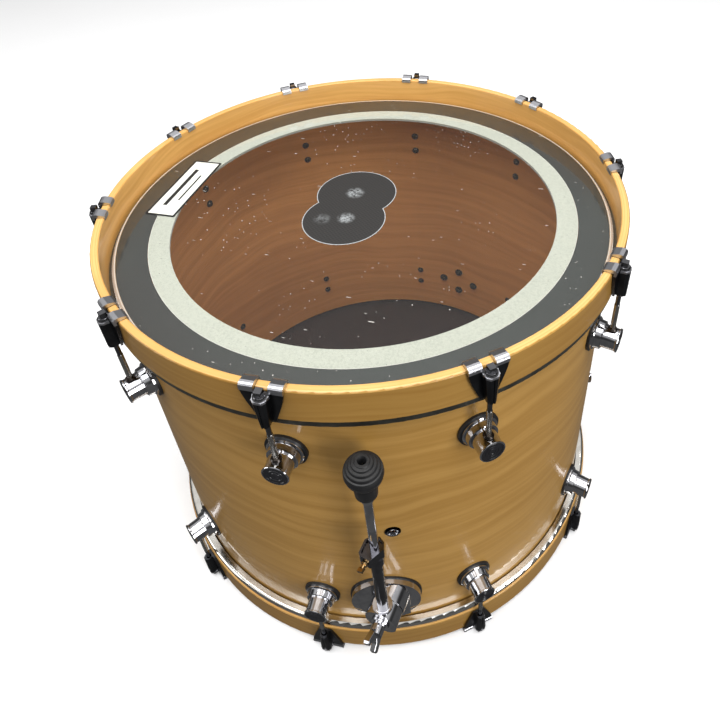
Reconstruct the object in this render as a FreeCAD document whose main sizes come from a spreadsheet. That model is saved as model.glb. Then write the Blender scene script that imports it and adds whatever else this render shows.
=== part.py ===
"""Bass drum, 22 by 16 inches, standing on its resonant hoop with the batter head up.

The drum's axis is +Z and the floor is z = 0, where the hooks of the lower claws stand. When
the drum is played it lies on its side, and the side that is then uppermost faces -X.
Lengths are millimetres. Every piece on the batter side has a twin on the resonant side, made
by half a turn about a radial line at mid height. The two spurs mirror each other in Y.
"""
import FreeCAD, Part
import math
import os

import Sketcher

Vector = FreeCAD.Vector
Rotation = FreeCAD.Rotation
Placement = FreeCAD.Placement

X_AXIS = Vector(1, 0, 0)
Y_AXIS = Vector(0, 1, 0)
Z_AXIS = Vector(0, 0, 1)

DIMS = {
    # shell and the two heads
    "shell_outer": 279.0,
    "shell_inner": 271.0,
    "shell_depth": 406.4,
    "edge_peak": 276.5,
    "edge_round": 2.5,
    "edge_bevel": 5.5,
    "film_thick": 0.4,
    "film_drop": 9.0,
    "film_gap": 0.05,
    "collar_shoulder": 2.7,
    "muffle_inner": 219.3,
    "muffle_outer": 242.5,
    "muffle_thick": 3.2,
    "ring_outer": 275.3,
    "ring_thick": 0.4,
    "patch_disc": 47.5,
    "patch_apart": 52.8,
    "patch_thick": 0.4,
    "patch_shift": 17.0,
    # wooden hoops and the metal flesh hoops that they press on
    "hoop_outer": 292.0,
    "hoop_inner": 283.5,
    "hoop_tall": 37.0,
    "hoop_proud": 30.0,
    "hoop_round": 2.0,
    "flesh_outer": 290.4,
    "flesh_inner": 280.9,
    "flesh_tall": 9.0,
    "batter_flesh_round": 1.2,
    "resonant_flesh_round": 4.0,
    # claws
    "hook_thick": 4.5,
    "hook_pad": 0.5,
    "hook_wide": 12.4,
    "claw_wide": 37.5,
    "claw_inner": 281.6,
    "claw_back": 292.8,
    "claw_front": 294.8,
    "claw_drop": 36.0,
    "channel_front": 304.2,
    "channel_half": 6.4,
    "channel_tip_half": 4.4,
    "seat_drop": 3.2,
    "seat_radius": 6.4,
    "seat_thick": 2.6,
    "claw_bore": 3.3,
    # tension rods
    "rod_circle": 298.0,
    "shank_radius": 2.4,
    "thread_radius": 2.75,
    "rod_flange": 5.0,
    "rod_flange_thick": 1.5,
    "washer_radius": 5.9,
    "washer_thick": 1.0,
    "key_square": 6.3,
    "key_tall": 5.0,
    "thread_start": 51.0,
    "rod_reach": 104.0,
    # lugs
    "lug_drop": 98.5,
    "gasket_thick": 2.5,
    "gasket_radius": 20.5,
    "lug_end": 307.0,
    "cap_radius": 11.4,
    "insert_radius": 4.5,
    "insert_bore": 2.8,
    "screw_offset": 12.4,
    "screw_radius": 2.0,
    "screw_hole": 2.2,
    "screw_head": 4.0,
    "screw_washer": 5.0,
    # air vent
    "vent_angle": 288.0,
    "vent_flange": 8.5,
    "vent_tube": 5.6,
    "vent_bore": 4.4,
    # spurs
    "spur_angle": 285.0,
    "spur_height": 107.5,
    "spur_plate": 38.5,
    "spur_gasket": 40.0,
    "spur_gasket_thick": 2.0,
    "spur_face": 289.0,
    "spur_tilt": 25.0,
    "leg_out": 307.0,
    "leg_side": -2.0,
    "pivot_height": 124.0,
    "boss_radius": 19.0,
    "knuckle_radius": 18.0,
    "knuckle_half": 9.0,
    "pivot_gap": 0.3,
    "bolt_radius": 4.0,
    "tube_radius": 6.2,
    "tube_bore": 4.6,
    "tube_top": 262.0,
    "leg_rod": 4.5,
    "leg_rod_low": 164.0,
    "leg_rod_high": 381.0,
    "spike_tip": 399.0,
    "foot_low": 345.5,
    "foot_high": 403.0,
    "foot_radius": 17.5,
    "foot_travel": 13.0,
    "sleeve_radius": 5.9,
    "sleeve_tall": 10.0,
    "collar_low": 238.0,
    "collar_high": 265.0,
    "collar_block": 14.5,
    "collar_dish": 3.0,
    "collar_sleeve": 8.2,
    "mount_bolt": 2.5,
}

LUG_COUNT = 10
LUG_STEP = 360.0 / LUG_COUNT
LUG_ANGLES = [LUG_STEP / 2 + LUG_STEP * turn for turn in range(LUG_COUNT)]
SPUR_BOLT_PLACES = ((-28.0, 0.0), (28.0, 0.0), (0.0, -20.0), (0.0, 20.0))

doc = FreeCAD.newDocument("bass_drum")
sheet = doc.addObject("Spreadsheet::Sheet", "Dims")
nodes = {}


def fill_sheet():
    """Writes each driving dimension as a plain number with its alias."""
    for row, (alias, number) in enumerate(DIMS.items(), start=1):
        sheet.set("A%d" % row, alias)
        sheet.set("B%d" % row, str(number))
        sheet.setAlias("B%d" % row, alias)
    doc.recompute()


def terms(text):
    """Splits a sum such as 'hoop_outer - hoop_round + 2' into signed terms."""
    parts = text.replace("-", "+-").split("+")
    signed = []
    for part in parts:
        word = part.strip()
        if word:
            signed.append((-1.0, word[1:].strip()) if word[0] == "-" else (1.0, word))
    return signed


def size(text):
    """The number that a sum of dimensions and plain numbers comes to."""
    total = 0.0
    for sign, word in terms(str(text)):
        total += sign * (float(sheet.get(word)) if word[0].isalpha() else float(word))
    return total


def formula(text):
    """The same sum as an expression that reads the sheet."""
    words = []
    for sign, word in terms(str(text)):
        words.append("%s %s" % ("-" if sign < 0 else "+", "Dims." + word if word[0].isalpha() else word))
    return " ".join(words).lstrip("+ ")


def difference(end, start):
    """The sum that runs from start to end."""
    taken = ["%s %s" % ("+" if sign < 0 else "-", word) for sign, word in terms(start)]
    return " ".join([str(end)] + taken)


def bind(thing, prop, text):
    """Sets a property to a sum of dimensions and keeps it bound to the sheet."""
    setattr(thing, prop, size(text))
    thing.setExpression(prop, formula(text))


def finish_node(name, thing):
    """Labels an object as a node of the drum."""
    thing.Label = name
    nodes[name] = thing
    return thing


# ---------------------------------------------------------------- sketches and bodies

def new_body(name):
    """A PartDesign body."""
    body = doc.addObject("PartDesign::Body", name)
    return body


def origin_plane(body, role):
    """The body's own origin plane with this role."""
    for feature in body.Origin.OriginFeatures:
        if feature.Role == role:
            return feature
    raise ValueError(role)


def new_sketch(body, name, role, away="0"):
    """A sketch on one of the body's planes, moved along the plane's normal."""
    sketch = body.newObject("Sketcher::SketchObject", name)
    sketch.AttachmentSupport = [(origin_plane(body, role), "")]
    sketch.MapMode = "FlatFace"
    if away != "0":
        sketch.AttachmentOffset = Placement(Vector(0, 0, size(away)), Rotation())
        sketch.setExpression("AttachmentOffset.Base.z", formula(away))
    return sketch


def pin(sketch, line, across, up):
    """Ties the start of a line to its two coordinates, each a sum of dimensions."""
    for kind, text, axis in (("DistanceX", across, -2), ("DistanceY", up, -1)):
        if abs(size(text)) < 1e-9:
            sketch.addConstraint(Sketcher.Constraint("PointOnObject", line, 1, axis))
        else:
            index = sketch.addConstraint(Sketcher.Constraint(kind, -1, 1, line, 1, size(text)))
            sketch.setExpression("Constraints[%d]" % index, formula(text))


def draw_polygon(sketch, points):
    """A closed outline whose corners are pairs of sums of dimensions."""
    corners = [Vector(size(across), size(up), 0) for across, up in points]
    first = len(sketch.Geometry)
    count = len(corners)
    for index in range(count):
        sketch.addGeometry(Part.LineSegment(corners[index], corners[(index + 1) % count]), False)
    for index in range(count):
        following = first + (index + 1) % count
        sketch.addConstraint(Sketcher.Constraint("Coincident", first + index, 2, following, 1))
    for index, (across, up) in enumerate(points):
        pin(sketch, first + index, across, up)
    return sketch


def draw_circle(sketch, across, up, radius):
    """A circle with its centre and radius tied to dimensions."""
    index = len(sketch.Geometry)
    centre = Vector(size(across), size(up), 0)
    sketch.addGeometry(Part.Circle(centre, Z_AXIS, size(radius)), False)
    for kind, text, axis in (("DistanceX", across, -2), ("DistanceY", up, -1)):
        if abs(size(text)) < 1e-9:
            sketch.addConstraint(Sketcher.Constraint("PointOnObject", index, 3, axis))
        else:
            tie = sketch.addConstraint(Sketcher.Constraint(kind, -1, 1, index, 3, size(text)))
            sketch.setExpression("Constraints[%d]" % tie, formula(text))
    tie = sketch.addConstraint(Sketcher.Constraint("Radius", index, size(radius)))
    sketch.setExpression("Constraints[%d]" % tie, formula(radius))
    return sketch


def revolve(body, name, points, role="XZ_Plane", axis="V_Axis"):
    """Adds the full turn of an outline about one axis of its sketch."""
    sketch = draw_polygon(new_sketch(body, name + "_outline", role), points)
    turned = body.newObject("PartDesign::Revolution", name)
    turned.Profile = sketch
    turned.ReferenceAxis = (sketch, [axis])
    turned.Angle = 360.0
    doc.recompute()
    return turned


def pad(body, name, sketch, length, midplane=False):
    """Adds a sketch's prism."""
    prism = body.newObject("PartDesign::Pad", name)
    prism.Profile = sketch
    if midplane:
        prism.SideType = "Symmetric"
    bind(prism, "Length", length)
    doc.recompute()
    return prism


def pocket_through(body, name, sketch):
    """Cuts a sketch right through the body, both ways, and makes sure that it cut."""
    before = body.Shape.Volume
    cut = body.newObject("PartDesign::Pocket", name)
    cut.Profile = sketch
    cut.SideType = "Symmetric"
    cut.Type = "ThroughAll"
    doc.recompute()
    if body.Shape.Volume > before - 0.1:
        raise RuntimeError(name + " cut nothing")
    return cut


def fillet_circles(body, name, base, radius, keep):
    """Rounds the circular edges that keep(circle) picks."""
    picked = []
    for index, edge in enumerate(base.Shape.Edges, start=1):
        if isinstance(edge.Curve, Part.Circle) and keep(edge.Curve):
            picked.append("Edge%d" % index)
    rounded = body.newObject("PartDesign::Fillet", name)
    rounded.Base = (base, picked)
    bind(rounded, "Radius", radius)
    doc.recompute()
    return rounded


# ---------------------------------------------------------------- primitives

def frame_along(origin, direction):
    """A placement whose own Z runs along the direction."""
    return Placement(origin, Rotation(Z_AXIS, direction))


def cylinder(name, radius, height, place):
    """A cylinder along its placement's own Z."""
    solid = doc.addObject("Part::Cylinder", name)
    bind(solid, "Radius", radius)
    bind(solid, "Height", height)
    solid.Placement = place
    return solid


def radial_cylinder(name, radius, start, end, side=0.0, height=0.0):
    """A cylinder that points away from the drum's axis, along +X."""
    place = frame_along(Vector(size(start), side, height), X_AXIS)
    return cylinder(name, radius, difference(end, start), place)


def fuse(name, pieces):
    """The union of several solids."""
    joined = doc.addObject("Part::MultiFuse", name)
    joined.Shapes = pieces
    joined.Refine = True
    return joined


def cut(name, base, tool):
    """The base without the tool."""
    rest = doc.addObject("Part::Cut", name)
    rest.Base = base
    rest.Tool = tool
    return rest


def common(name, first, second):
    """What two solids share."""
    shared = doc.addObject("Part::Common", name)
    shared.Base = first
    shared.Tool = second
    return shared


def placed_copies(master, places):
    """A compound of separate copies of one solid."""
    doc.recompute()
    copies = []
    for place in places:
        copy = master.Shape.copy()
        copy.Placement = place.multiply(copy.Placement)
        copies.append(copy)
    return Part.makeCompound(copies)


def group_node(name, master, places):
    """A node that holds the same piece at several places."""
    group = doc.addObject("Part::Feature", name)
    group.Shape = placed_copies(master, places)
    return finish_node(name, group)


def turn_about_axis(angle):
    """A turn about the drum's axis."""
    return Placement(Vector(), Rotation(Z_AXIS, angle))


def flip_over():
    """Half a turn about the radial X line at mid height, from batter to resonant side."""
    middle = size("mid_height")
    return Placement(Vector(0, 0, 2 * middle), Rotation(X_AXIS, 180))


def batter_places():
    """One placement for each of the batter side's lug positions."""
    return [turn_about_axis(angle) for angle in LUG_ANGLES]


def resonant_places():
    """One placement for each of the resonant side's lug positions."""
    return [turn_about_axis(angle).multiply(flip_over()) for angle in LUG_ANGLES]


# ---------------------------------------------------------------- shell, hoops and heads

def make_shell():
    """Maple shell with a bearing edge at each end and its drilled holes."""
    body = new_body("shell_blank")
    revolve(body, "shell_turned", [
        ("shell_inner", "low_edge + edge_bevel"),
        ("edge_peak", "low_edge"),
        ("shell_outer", "low_edge + edge_round"),
        ("shell_outer", "high_edge - edge_round"),
        ("edge_peak", "high_edge"),
        ("shell_inner", "high_edge - edge_bevel"),
    ])
    drill = radial_cylinder("lug_drill", "screw_hole", "shell_inner - 6", "shell_outer + 6")
    places = []
    for place in batter_places() + resonant_places():
        for side in (-1, 1):
            lift = Placement(Vector(0, 0, size("lug_height") + side * size("screw_offset")), Rotation())
            places.append(place.multiply(lift))
    holes = placed_copies(drill, places).Solids
    bolt_drill = radial_cylinder("spur_drill", "mount_bolt + 0.3", "shell_inner - 8", "shell_outer + 12")
    holes += placed_copies(bolt_drill, spur_bolt_places()).Solids
    vent_drill = radial_cylinder("vent_drill", "vent_tube + 0.2", "shell_inner - 6", "shell_outer + 6")
    vent_place = turn_about_axis(size("vent_angle")).multiply(
        Placement(Vector(0, 0, size("mid_height")), Rotation()))
    holes += placed_copies(vent_drill, [vent_place]).Solids
    drills = doc.addObject("Part::Feature", "shell_drills")
    drills.Shape = Part.makeCompound(holes)
    finish_node("shell", cut("shell_cut", body, drills))


def make_hoops():
    """Wooden hoops, flesh hoops and the thin parts of both heads."""
    for side, flip, flesh_round in (("batter", False, "batter_flesh_round"),
                                    ("resonant", True, "resonant_flesh_round")):
        hoop = new_body(side + "_hoop_body")
        turned = revolve(hoop, side + "_hoop_turned", [
            ("hoop_inner", "high_edge + hoop_proud - hoop_tall"),
            ("hoop_outer", "high_edge + hoop_proud - hoop_tall"),
            ("hoop_outer", "high_edge + hoop_proud"),
            ("hoop_inner", "high_edge + hoop_proud"),
        ])
        top = size("high_edge + hoop_proud")
        fillet_circles(hoop, side + "_hoop_rounding", turned, "hoop_round",
                       lambda circle, top=top: abs(circle.Center.z - top) < 0.01)
        flesh = new_body(side + "_flesh_hoop_body")
        turned = revolve(flesh, side + "_flesh_turned", [
            ("flesh_inner", "high_edge + hoop_proud - hoop_tall - flesh_tall"),
            ("flesh_outer", "high_edge + hoop_proud - hoop_tall - flesh_tall"),
            ("flesh_outer", "high_edge + hoop_proud - hoop_tall"),
            ("flesh_inner", "high_edge + hoop_proud - hoop_tall"),
        ])
        outer = size("flesh_outer")
        fillet_circles(flesh, side + "_flesh_rounding", turned, flesh_round,
                       lambda circle, outer=outer: abs(circle.Radius - outer) < 0.01)
        film = new_body(side + "_film_body")
        revolve(film, side + "_film_turned", [
            ("0", "high_edge"),
            ("edge_peak + 0.1", "high_edge"),
            ("shell_outer + 0.3", "high_edge - collar_shoulder"),
            ("flesh_inner - 0.6", "high_edge - film_drop"),
            ("flesh_inner - 0.2", "high_edge - film_drop"),
            ("shell_outer + 0.75", "high_edge - collar_shoulder + 0.2"),
            ("edge_peak + 0.3", "high_edge + film_thick"),
            ("0", "high_edge + film_thick"),
        ])
        for body, name in ((hoop, side + "_hoop"), (flesh, side + "_flesh_hoop"),
                           (film, side + "_head_film")):
            if flip:
                body.Placement = flip_over()
            finish_node(name, body)


def flat_ring(name, inner, outer, low, high):
    """A flat ring about the drum's axis."""
    body = new_body(name + "_body")
    revolve(body, name + "_turned", [(inner, low), (outer, low), (outer, high), (inner, high)])
    return finish_node(name, body)


def make_head_layers():
    """The muffling felt, the dark outer ring and the patch that the beaters strike."""
    flat_ring("muffle_ring", "muffle_inner", "muffle_outer - 0.3", "high_edge - muffle_thick", "high_edge - film_gap")
    flat_ring("head_edge_ring", "muffle_outer", "ring_outer", "high_edge - ring_thick", "high_edge - film_gap")
    body = new_body("kick_patch_body")
    for index, centre in enumerate(("patch_apart_half", "0 - patch_apart_half")):
        sketch = new_sketch(body, "patch_disc_%d" % index, "XY_Plane", "high_edge + film_thick")
        draw_circle(sketch, "0 - patch_shift", centre, "patch_disc")
        pad(body, "patch_pad_%d" % index, sketch, "patch_thick")
    finish_node("kick_patch", body)


# ---------------------------------------------------------------- claws and rods

def draw_channel(body, name, height, half):
    """The claw channel's outline at one height, with a groove down its front."""
    half_way = "0 - " + half
    return draw_polygon(new_sketch(body, name, "XY_Plane", height), [
        ("claw_back", half_way), ("channel_front - 2.8", half_way), ("channel_front", half_way + " + 2.6"),
        ("channel_front", "-0.7"), ("channel_front - 0.9", "0"), ("channel_front", "0.7"),
        ("channel_front", half + " - 2.6"), ("channel_front - 2.8", half), ("claw_back", half),
    ])


def make_claw():
    """One claw on the batter side, its rod on the line y = 0."""
    body = new_body("claw_body")
    plate = new_sketch(body, "claw_plate_outline", "YZ_Plane", "claw_back")
    half = size("claw_wide") / 2
    steps = ((half, 0.0), (half - 0.3, -4.0), (half - 1.4, -9.0), (half - 3.9, -17.0), (half - 6.5, -24.0),
             (half - 9.0, -30.5), (half - 11.2, -36.0))
    outline = [("%.2f" % side, "hoop_top %+.2f" % down) for side, down in steps]
    outline += [("-%.2f" % side, "hoop_top %+.2f" % down) for side, down in reversed(steps)]
    pad(body, "claw_plate", draw_polygon(plate, outline), "claw_front - claw_back")
    tip = draw_channel(body, "claw_channel_tip", "hoop_top - claw_drop", "channel_tip_half")
    mouth = draw_channel(body, "claw_channel_mouth", "hoop_top - seat_drop - 0.6", "channel_half")
    channel = body.newObject("PartDesign::AdditiveLoft", "claw_channel")
    channel.Profile = tip
    channel.Sections = [mouth]
    channel.Ruled = True
    doc.recompute()
    seat = new_sketch(body, "claw_seat_outline", "XY_Plane", "hoop_top - seat_drop - seat_thick")
    pad(body, "claw_seat", draw_circle(seat, "rod_circle", "0", "seat_radius"), "seat_thick")
    ears = new_sketch(body, "claw_ears_outline", "XY_Plane", "hoop_top - seat_drop - seat_thick")
    draw_polygon(ears, [
        ("claw_back", "0 - seat_radius - 1.2"), ("claw_front + 0.8", "0 - seat_radius - 1.2"),
        ("rod_circle + 1", "0 - seat_radius + 0.1"), ("rod_circle + 1", "seat_radius - 0.1"),
        ("claw_front + 0.8", "seat_radius + 1.2"), ("claw_back", "seat_radius + 1.2"),
    ])
    pad(body, "claw_ears", ears, "seat_thick")
    hook = new_sketch(body, "claw_hook_outline", "XZ_Plane")
    draw_polygon(hook, [
        ("claw_inner", "hoop_top - 3"),
        ("claw_inner + 1.1", "hoop_top - 3"),
        ("claw_inner + 1.1", "hoop_top + hook_pad"),
        ("claw_back", "hoop_top + hook_pad"),
        ("claw_back", "hoop_top - 2.6"),
        ("claw_front", "hoop_top - 2.6"),
        ("claw_front + 0.7", "hoop_top - 1.8"),
        ("claw_front + 0.7", "hoop_top + 1.6"),
        ("claw_front + 0.1", "hoop_top + hook_thick - 1.3"),
        ("claw_front - 1.1", "hoop_top + hook_thick - 0.3"),
        ("claw_front - 2.6", "hoop_top + hook_thick"),
        ("claw_front - 5", "hoop_top + hook_thick"),
        ("claw_inner + 2.2", "hoop_top + hook_thick - 1.8"),
        ("claw_inner + 0.4", "hoop_top + 1.7"),
        ("claw_inner", "hoop_top + 0.9"),
    ])
    pad(body, "claw_hooks", hook, "claw_wide", midplane=True)
    gap = new_sketch(body, "claw_gap_outline", "XY_Plane", "hoop_top - seat_drop")
    draw_polygon(gap, [
        ("claw_inner - 2", "0 - hook_gap_half"), ("claw_front + 8", "0 - hook_gap_half"),
        ("claw_front + 8", "hook_gap_half"), ("claw_inner - 2", "hook_gap_half"),
    ])
    opened = body.newObject("PartDesign::Pocket", "claw_gap")
    before = body.Shape.Volume
    opened.Profile = gap
    opened.Reversed = True
    bind(opened, "Length", "20")
    doc.recompute()
    if body.Shape.Volume > before - 10:
        raise RuntimeError("claw_gap cut nothing")
    clear = new_sketch(body, "claw_clear_outline", "XY_Plane", "hoop_top")
    draw_polygon(clear, [
        ("claw_inner - 2", "0 - hook_gap_half"), ("claw_back", "0 - hook_gap_half"),
        ("claw_back", "hook_gap_half"), ("claw_inner - 2", "hook_gap_half"),
    ])
    pocket_through(body, "claw_clear", clear)
    bore = new_sketch(body, "claw_bore_outline", "XY_Plane", "hoop_top")
    pocket_through(body, "claw_rod_bore", draw_circle(bore, "rod_circle", "0", "claw_bore"))
    return body


def make_claw_pad():
    """The rubber lining between one claw and its hoop."""
    body = new_body("claw_pad_body")
    back = new_sketch(body, "pad_back_outline", "YZ_Plane", "hoop_outer - 1.5")
    half = size("claw_wide") / 2 - 0.8
    corners = ((half, 0.0), (half - 0.4, -4.0), (half - 1.5, -9.0), (half - 4.0, -17.0), (half - 6.6, -24.0),
               (half - 9.1, -30.5), (half - 10.3, -33.5))
    outline = [("%.2f" % side, "hoop_top %+.2f" % down) for side, down in corners]
    outline += [("-%.2f" % side, "hoop_top %+.2f" % down) for side, down in reversed(corners)]
    notch = "hoop_top - seat_drop - 0.2"
    outline += [("0 - hook_gap_half", "hoop_top"), ("0 - hook_gap_half", notch), ("hook_gap_half", notch),
                ("hook_gap_half", "hoop_top")]
    pad(body, "pad_back", draw_polygon(back, outline), "claw_back - hoop_outer + 1.5")
    top = new_sketch(body, "pad_top_outline", "XY_Plane", "hoop_top")
    for low, high in (("0 - claw_wide_half + 0.8", "0 - hook_gap_half"), ("hook_gap_half", "claw_wide_half - 0.8")):
        draw_polygon(top, [("claw_inner + 3", low), ("claw_back", low), ("claw_back", high),
                           ("claw_inner + 3", high)])
    pad(body, "pad_top", top, "hook_pad")
    hoop_solid = cylinder("pad_hoop_tool", "hoop_outer", "hoop_tall",
                          Placement(Vector(0, 0, size("hoop_top - hoop_tall")), Rotation()))
    return cut("claw_pad", body, hoop_solid)


def make_claws():
    """Claws, their linings and the washers under the rod heads."""
    claw = make_claw()
    group_node("batter_claws", claw, batter_places())
    group_node("resonant_claws", claw, resonant_places())
    group_node("claw_pads", make_claw_pad(), batter_places() + resonant_places())
    body = new_body("rod_washer_body")
    sketch = new_sketch(body, "rod_washer_outline", "XY_Plane", "hoop_top - seat_drop")
    draw_circle(sketch, "rod_circle", "0", "washer_radius")
    draw_circle(sketch, "rod_circle", "0", "claw_bore - 0.3")
    pad(body, "rod_washer_pad", sketch, "washer_thick")
    group_node("rod_washers", body, batter_places() + resonant_places())


def make_rods():
    """Twenty key rods, each free to turn in its claw and its lug."""
    body = new_body("tension_rod_body")
    revolve(body, "rod_turned", [
        ("0", "hoop_top - rod_reach"),
        ("thread_radius - 0.8", "hoop_top - rod_reach"),
        ("thread_radius", "hoop_top - rod_reach + 1.2"),
        ("thread_radius", "hoop_top - thread_start"),
        ("shank_radius", "hoop_top - thread_start + 0.6"),
        ("shank_radius", "head_seat"),
        ("rod_flange", "head_seat"),
        ("rod_flange", "head_seat + rod_flange_thick - 0.4"),
        ("rod_flange - 0.4", "head_seat + rod_flange_thick"),
        ("0", "head_seat + rod_flange_thick"),
    ])
    key = new_sketch(body, "rod_key_outline", "XY_Plane", "head_seat + rod_flange_thick")
    draw_polygon(key, [
        ("0 - key_half", "0 - key_half"), ("key_half", "0 - key_half"),
        ("key_half", "key_half"), ("0 - key_half", "key_half"),
    ])
    pad(body, "rod_key", key, "key_tall")
    to_rod = Placement(Vector(size("rod_circle"), 0, 0), Rotation())
    for side, places in (("batter", batter_places()), ("resonant", resonant_places())):
        for number, place in enumerate(places, start=1):
            group_node("%s_rod_%02d" % (side, number), body, [place.multiply(to_rod)])


# ---------------------------------------------------------------- lugs and the air vent

def saddle(name, radius, thickness, hole_radius, hole_places, height):
    """A round pad of even thickness that lies on the shell's curved face."""
    blank = radial_cylinder(name + "_blank", radius, "shell_inner", "shell_outer + 12", 0.0, height)
    tall = "%s + %s + 10" % (radius, radius)
    low = Placement(Vector(0, 0, height - size(radius) - 5), Rotation())
    outer = cylinder(name + "_outer", "shell_outer + " + thickness, tall, low)
    inner = cylinder(name + "_inner", "shell_outer", tall, low)
    curved = cut(name + "_curved", common(name + "_disc", blank, outer), inner)
    drills = []
    for index, place in enumerate(hole_places):
        drill = radial_cylinder("%s_drill_%d" % (name, index), hole_radius, "shell_inner", "shell_outer + 14")
        drill.Placement = place.multiply(drill.Placement)
        drills.append(drill)
    return cut(name, curved, fuse(name + "_drills", drills))


def make_lug_casting():
    """A turret lug: a stepped base, a round post and the bore for its rod insert."""
    body = new_body("lug_turned_body")
    revolve(body, "lug_turned", [
        ("shell_outer - 2", "0"),
        ("shell_outer - 2", "18"),
        ("shell_outer + 4.2", "18"),
        ("shell_outer + 5.2", "17"),
        ("shell_outer + 5.2", "15.8"),
        ("shell_outer + 11", "15"),
        ("shell_outer + 11.6", "14.2"),
        ("shell_outer + 11.6", "12.9"),
        ("shell_outer + 12.6", "12.9"),
        ("shell_outer + 12.6", "12.4"),
        ("lug_end - 2.4", "11.9"),
        ("lug_end - 1.6", "12.9"),
        ("lug_end - 0.5", "12.9"),
        ("lug_end", "12.5"),
        ("lug_end", "cap_radius + 0.1"),
        ("lug_end - 1.6", "cap_radius + 0.1"),
        ("lug_end - 1.6", "0"),
    ], role="XY_Plane", axis="H_Axis")
    shell_low = Placement(Vector(0, 0, -40), Rotation())
    seat = cylinder("lug_seat_tool", "shell_outer + gasket_thick", "80", shell_low)
    insert_hole = cylinder("lug_insert_tool", "insert_radius + 0.05", "30",
                           Placement(Vector(size("rod_circle"), 0, -9.05), Rotation()))
    screws = [radial_cylinder("lug_tap_%d" % index, "screw_radius + 0.05", "shell_inner",
                              "shell_outer + 9.7", 0.0, side * size("screw_offset"))
              for index, side in enumerate((-1, 1))]
    return cut("lug_casting", body, fuse("lug_tools", [seat, insert_hole] + screws))


def make_lug_insert():
    """The nut that sits in a lug's post and takes the rod's thread."""
    body = new_body("lug_insert_body")
    revolve(body, "insert_turned", [
        ("insert_bore", "-9"),
        ("insert_radius", "-9"),
        ("insert_radius", "12.6"),
        ("insert_radius + 0.6", "12.6"),
        ("insert_radius + 0.6", "13.8"),
        ("insert_radius - 0.6", "15.2"),
        ("insert_bore", "15.2"),
    ])
    return body


def make_lug_screw():
    """A pan-head screw, driven from inside the shell outwards."""
    body = new_body("lug_screw_body")
    revolve(body, "screw_turned", [
        ("shell_inner - 3.6", "0"),
        ("shell_inner - 3.6", "screw_head - 1.2"),
        ("shell_inner - 2.6", "screw_head"),
        ("shell_inner - 1.1", "screw_head"),
        ("shell_inner - 1.1", "screw_radius"),
        ("shell_outer + 9", "screw_radius"),
        ("shell_outer + 9", "0"),
    ], role="XY_Plane", axis="H_Axis")
    return body


def make_lug_cap():
    """The dark disc that closes a lug's end, with three raised rings."""
    body = new_body("lug_cap_body")
    revolve(body, "cap_turned", [
        ("lug_end - 1.6", "0"),
        ("lug_end - 1.6", "cap_radius"),
        ("lug_end - 0.3", "cap_radius"),
        ("lug_end", "cap_radius - 0.4"),
        ("lug_end", "cap_radius - 1.3"),
        ("lug_end - 0.6", "cap_radius - 1.8"),
        ("lug_end - 0.6", "7.4"),
        ("lug_end - 0.1", "7"),
        ("lug_end - 0.1", "6.2"),
        ("lug_end - 0.6", "5.8"),
        ("lug_end - 0.6", "4.2"),
        ("lug_end - 0.1", "3.8"),
        ("lug_end - 0.1", "3"),
        ("lug_end - 0.5", "2.6"),
        ("lug_end - 0.5", "0"),
    ], role="XY_Plane", axis="H_Axis")
    return body


def make_lugs():
    """Twenty lugs with gaskets, inserts, caps, screws and screw washers."""
    lift = Placement(Vector(0, 0, size("lug_height")), Rotation())
    places = [place.multiply(lift) for place in batter_places() + resonant_places()]
    offset = size("screw_offset")
    holes = [Placement(Vector(0, 0, side * offset), Rotation()) for side in (-1, 1)]
    gasket = saddle("lug_gasket", "gasket_radius", "gasket_thick", "screw_hole", holes, 0.0)
    group_node("lug_gaskets", gasket, places)
    group_node("lug_castings", make_lug_casting(), places)
    to_rod = Placement(Vector(size("rod_circle"), 0, 0), Rotation())
    group_node("lug_inserts", make_lug_insert(), [place.multiply(to_rod) for place in places])
    group_node("lug_caps", make_lug_cap(), places)
    screw_places = []
    for place in places:
        for side in (-1, 1):
            screw_places.append(place.multiply(Placement(Vector(0, 0, side * offset), Rotation())))
    group_node("lug_screws", make_lug_screw(), screw_places)
    body = new_body("screw_washer_body")
    revolve(body, "screw_washer_turned", [
        ("shell_inner - 1.1", "screw_hole"), ("shell_inner - 1.1", "screw_washer"),
        ("shell_inner - 0.1", "screw_washer"), ("shell_inner - 0.1", "screw_hole"),
    ], role="XY_Plane", axis="H_Axis")
    group_node("lug_screw_washers", body, screw_places)


def make_vent():
    """The metal eyelet that lets air out of the shell."""
    body = new_body("vent_body")
    revolve(body, "vent_turned", [
        ("shell_inner - 2.2", "vent_bore"),
        ("shell_inner - 2.2", "vent_flange - 0.8"),
        ("shell_inner - 0.2", "vent_flange"),
        ("shell_inner - 0.2", "vent_tube"),
        ("shell_outer", "vent_tube"),
        ("shell_outer", "vent_flange"),
        ("shell_outer + 0.8", "vent_flange - 0.2"),
        ("shell_outer + 2", "vent_bore + 2"),
        ("shell_outer + 1.6", "vent_bore + 0.8"),
        ("shell_outer - 1.5", "vent_bore"),
    ], role="XY_Plane", axis="H_Axis")
    body.Placement = turn_about_axis(size("vent_angle")).multiply(
        Placement(Vector(0, 0, size("mid_height")), Rotation()))
    finish_node("vent_eyelet", body)


# ---------------------------------------------------------------- spurs

def pivot_direction():
    """The fold axis of the left spur before its turn: outwards, leaning to the drum's top."""
    tilt = math.radians(size("spur_tilt"))
    return Vector(math.cos(tilt), -math.sin(tilt), 0)


def pivot_point():
    """Where the leg's centre line crosses the fold axis."""
    return Vector(size("leg_out"), size("leg_side"), size("pivot_height"))


def along_pivot(name, radius, start, end):
    """A cylinder on the fold axis between two distances from the pivot point."""
    direction = pivot_direction()
    origin = pivot_point() + direction * size(start)
    return cylinder(name, radius, difference(end, start), frame_along(origin, direction))


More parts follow.
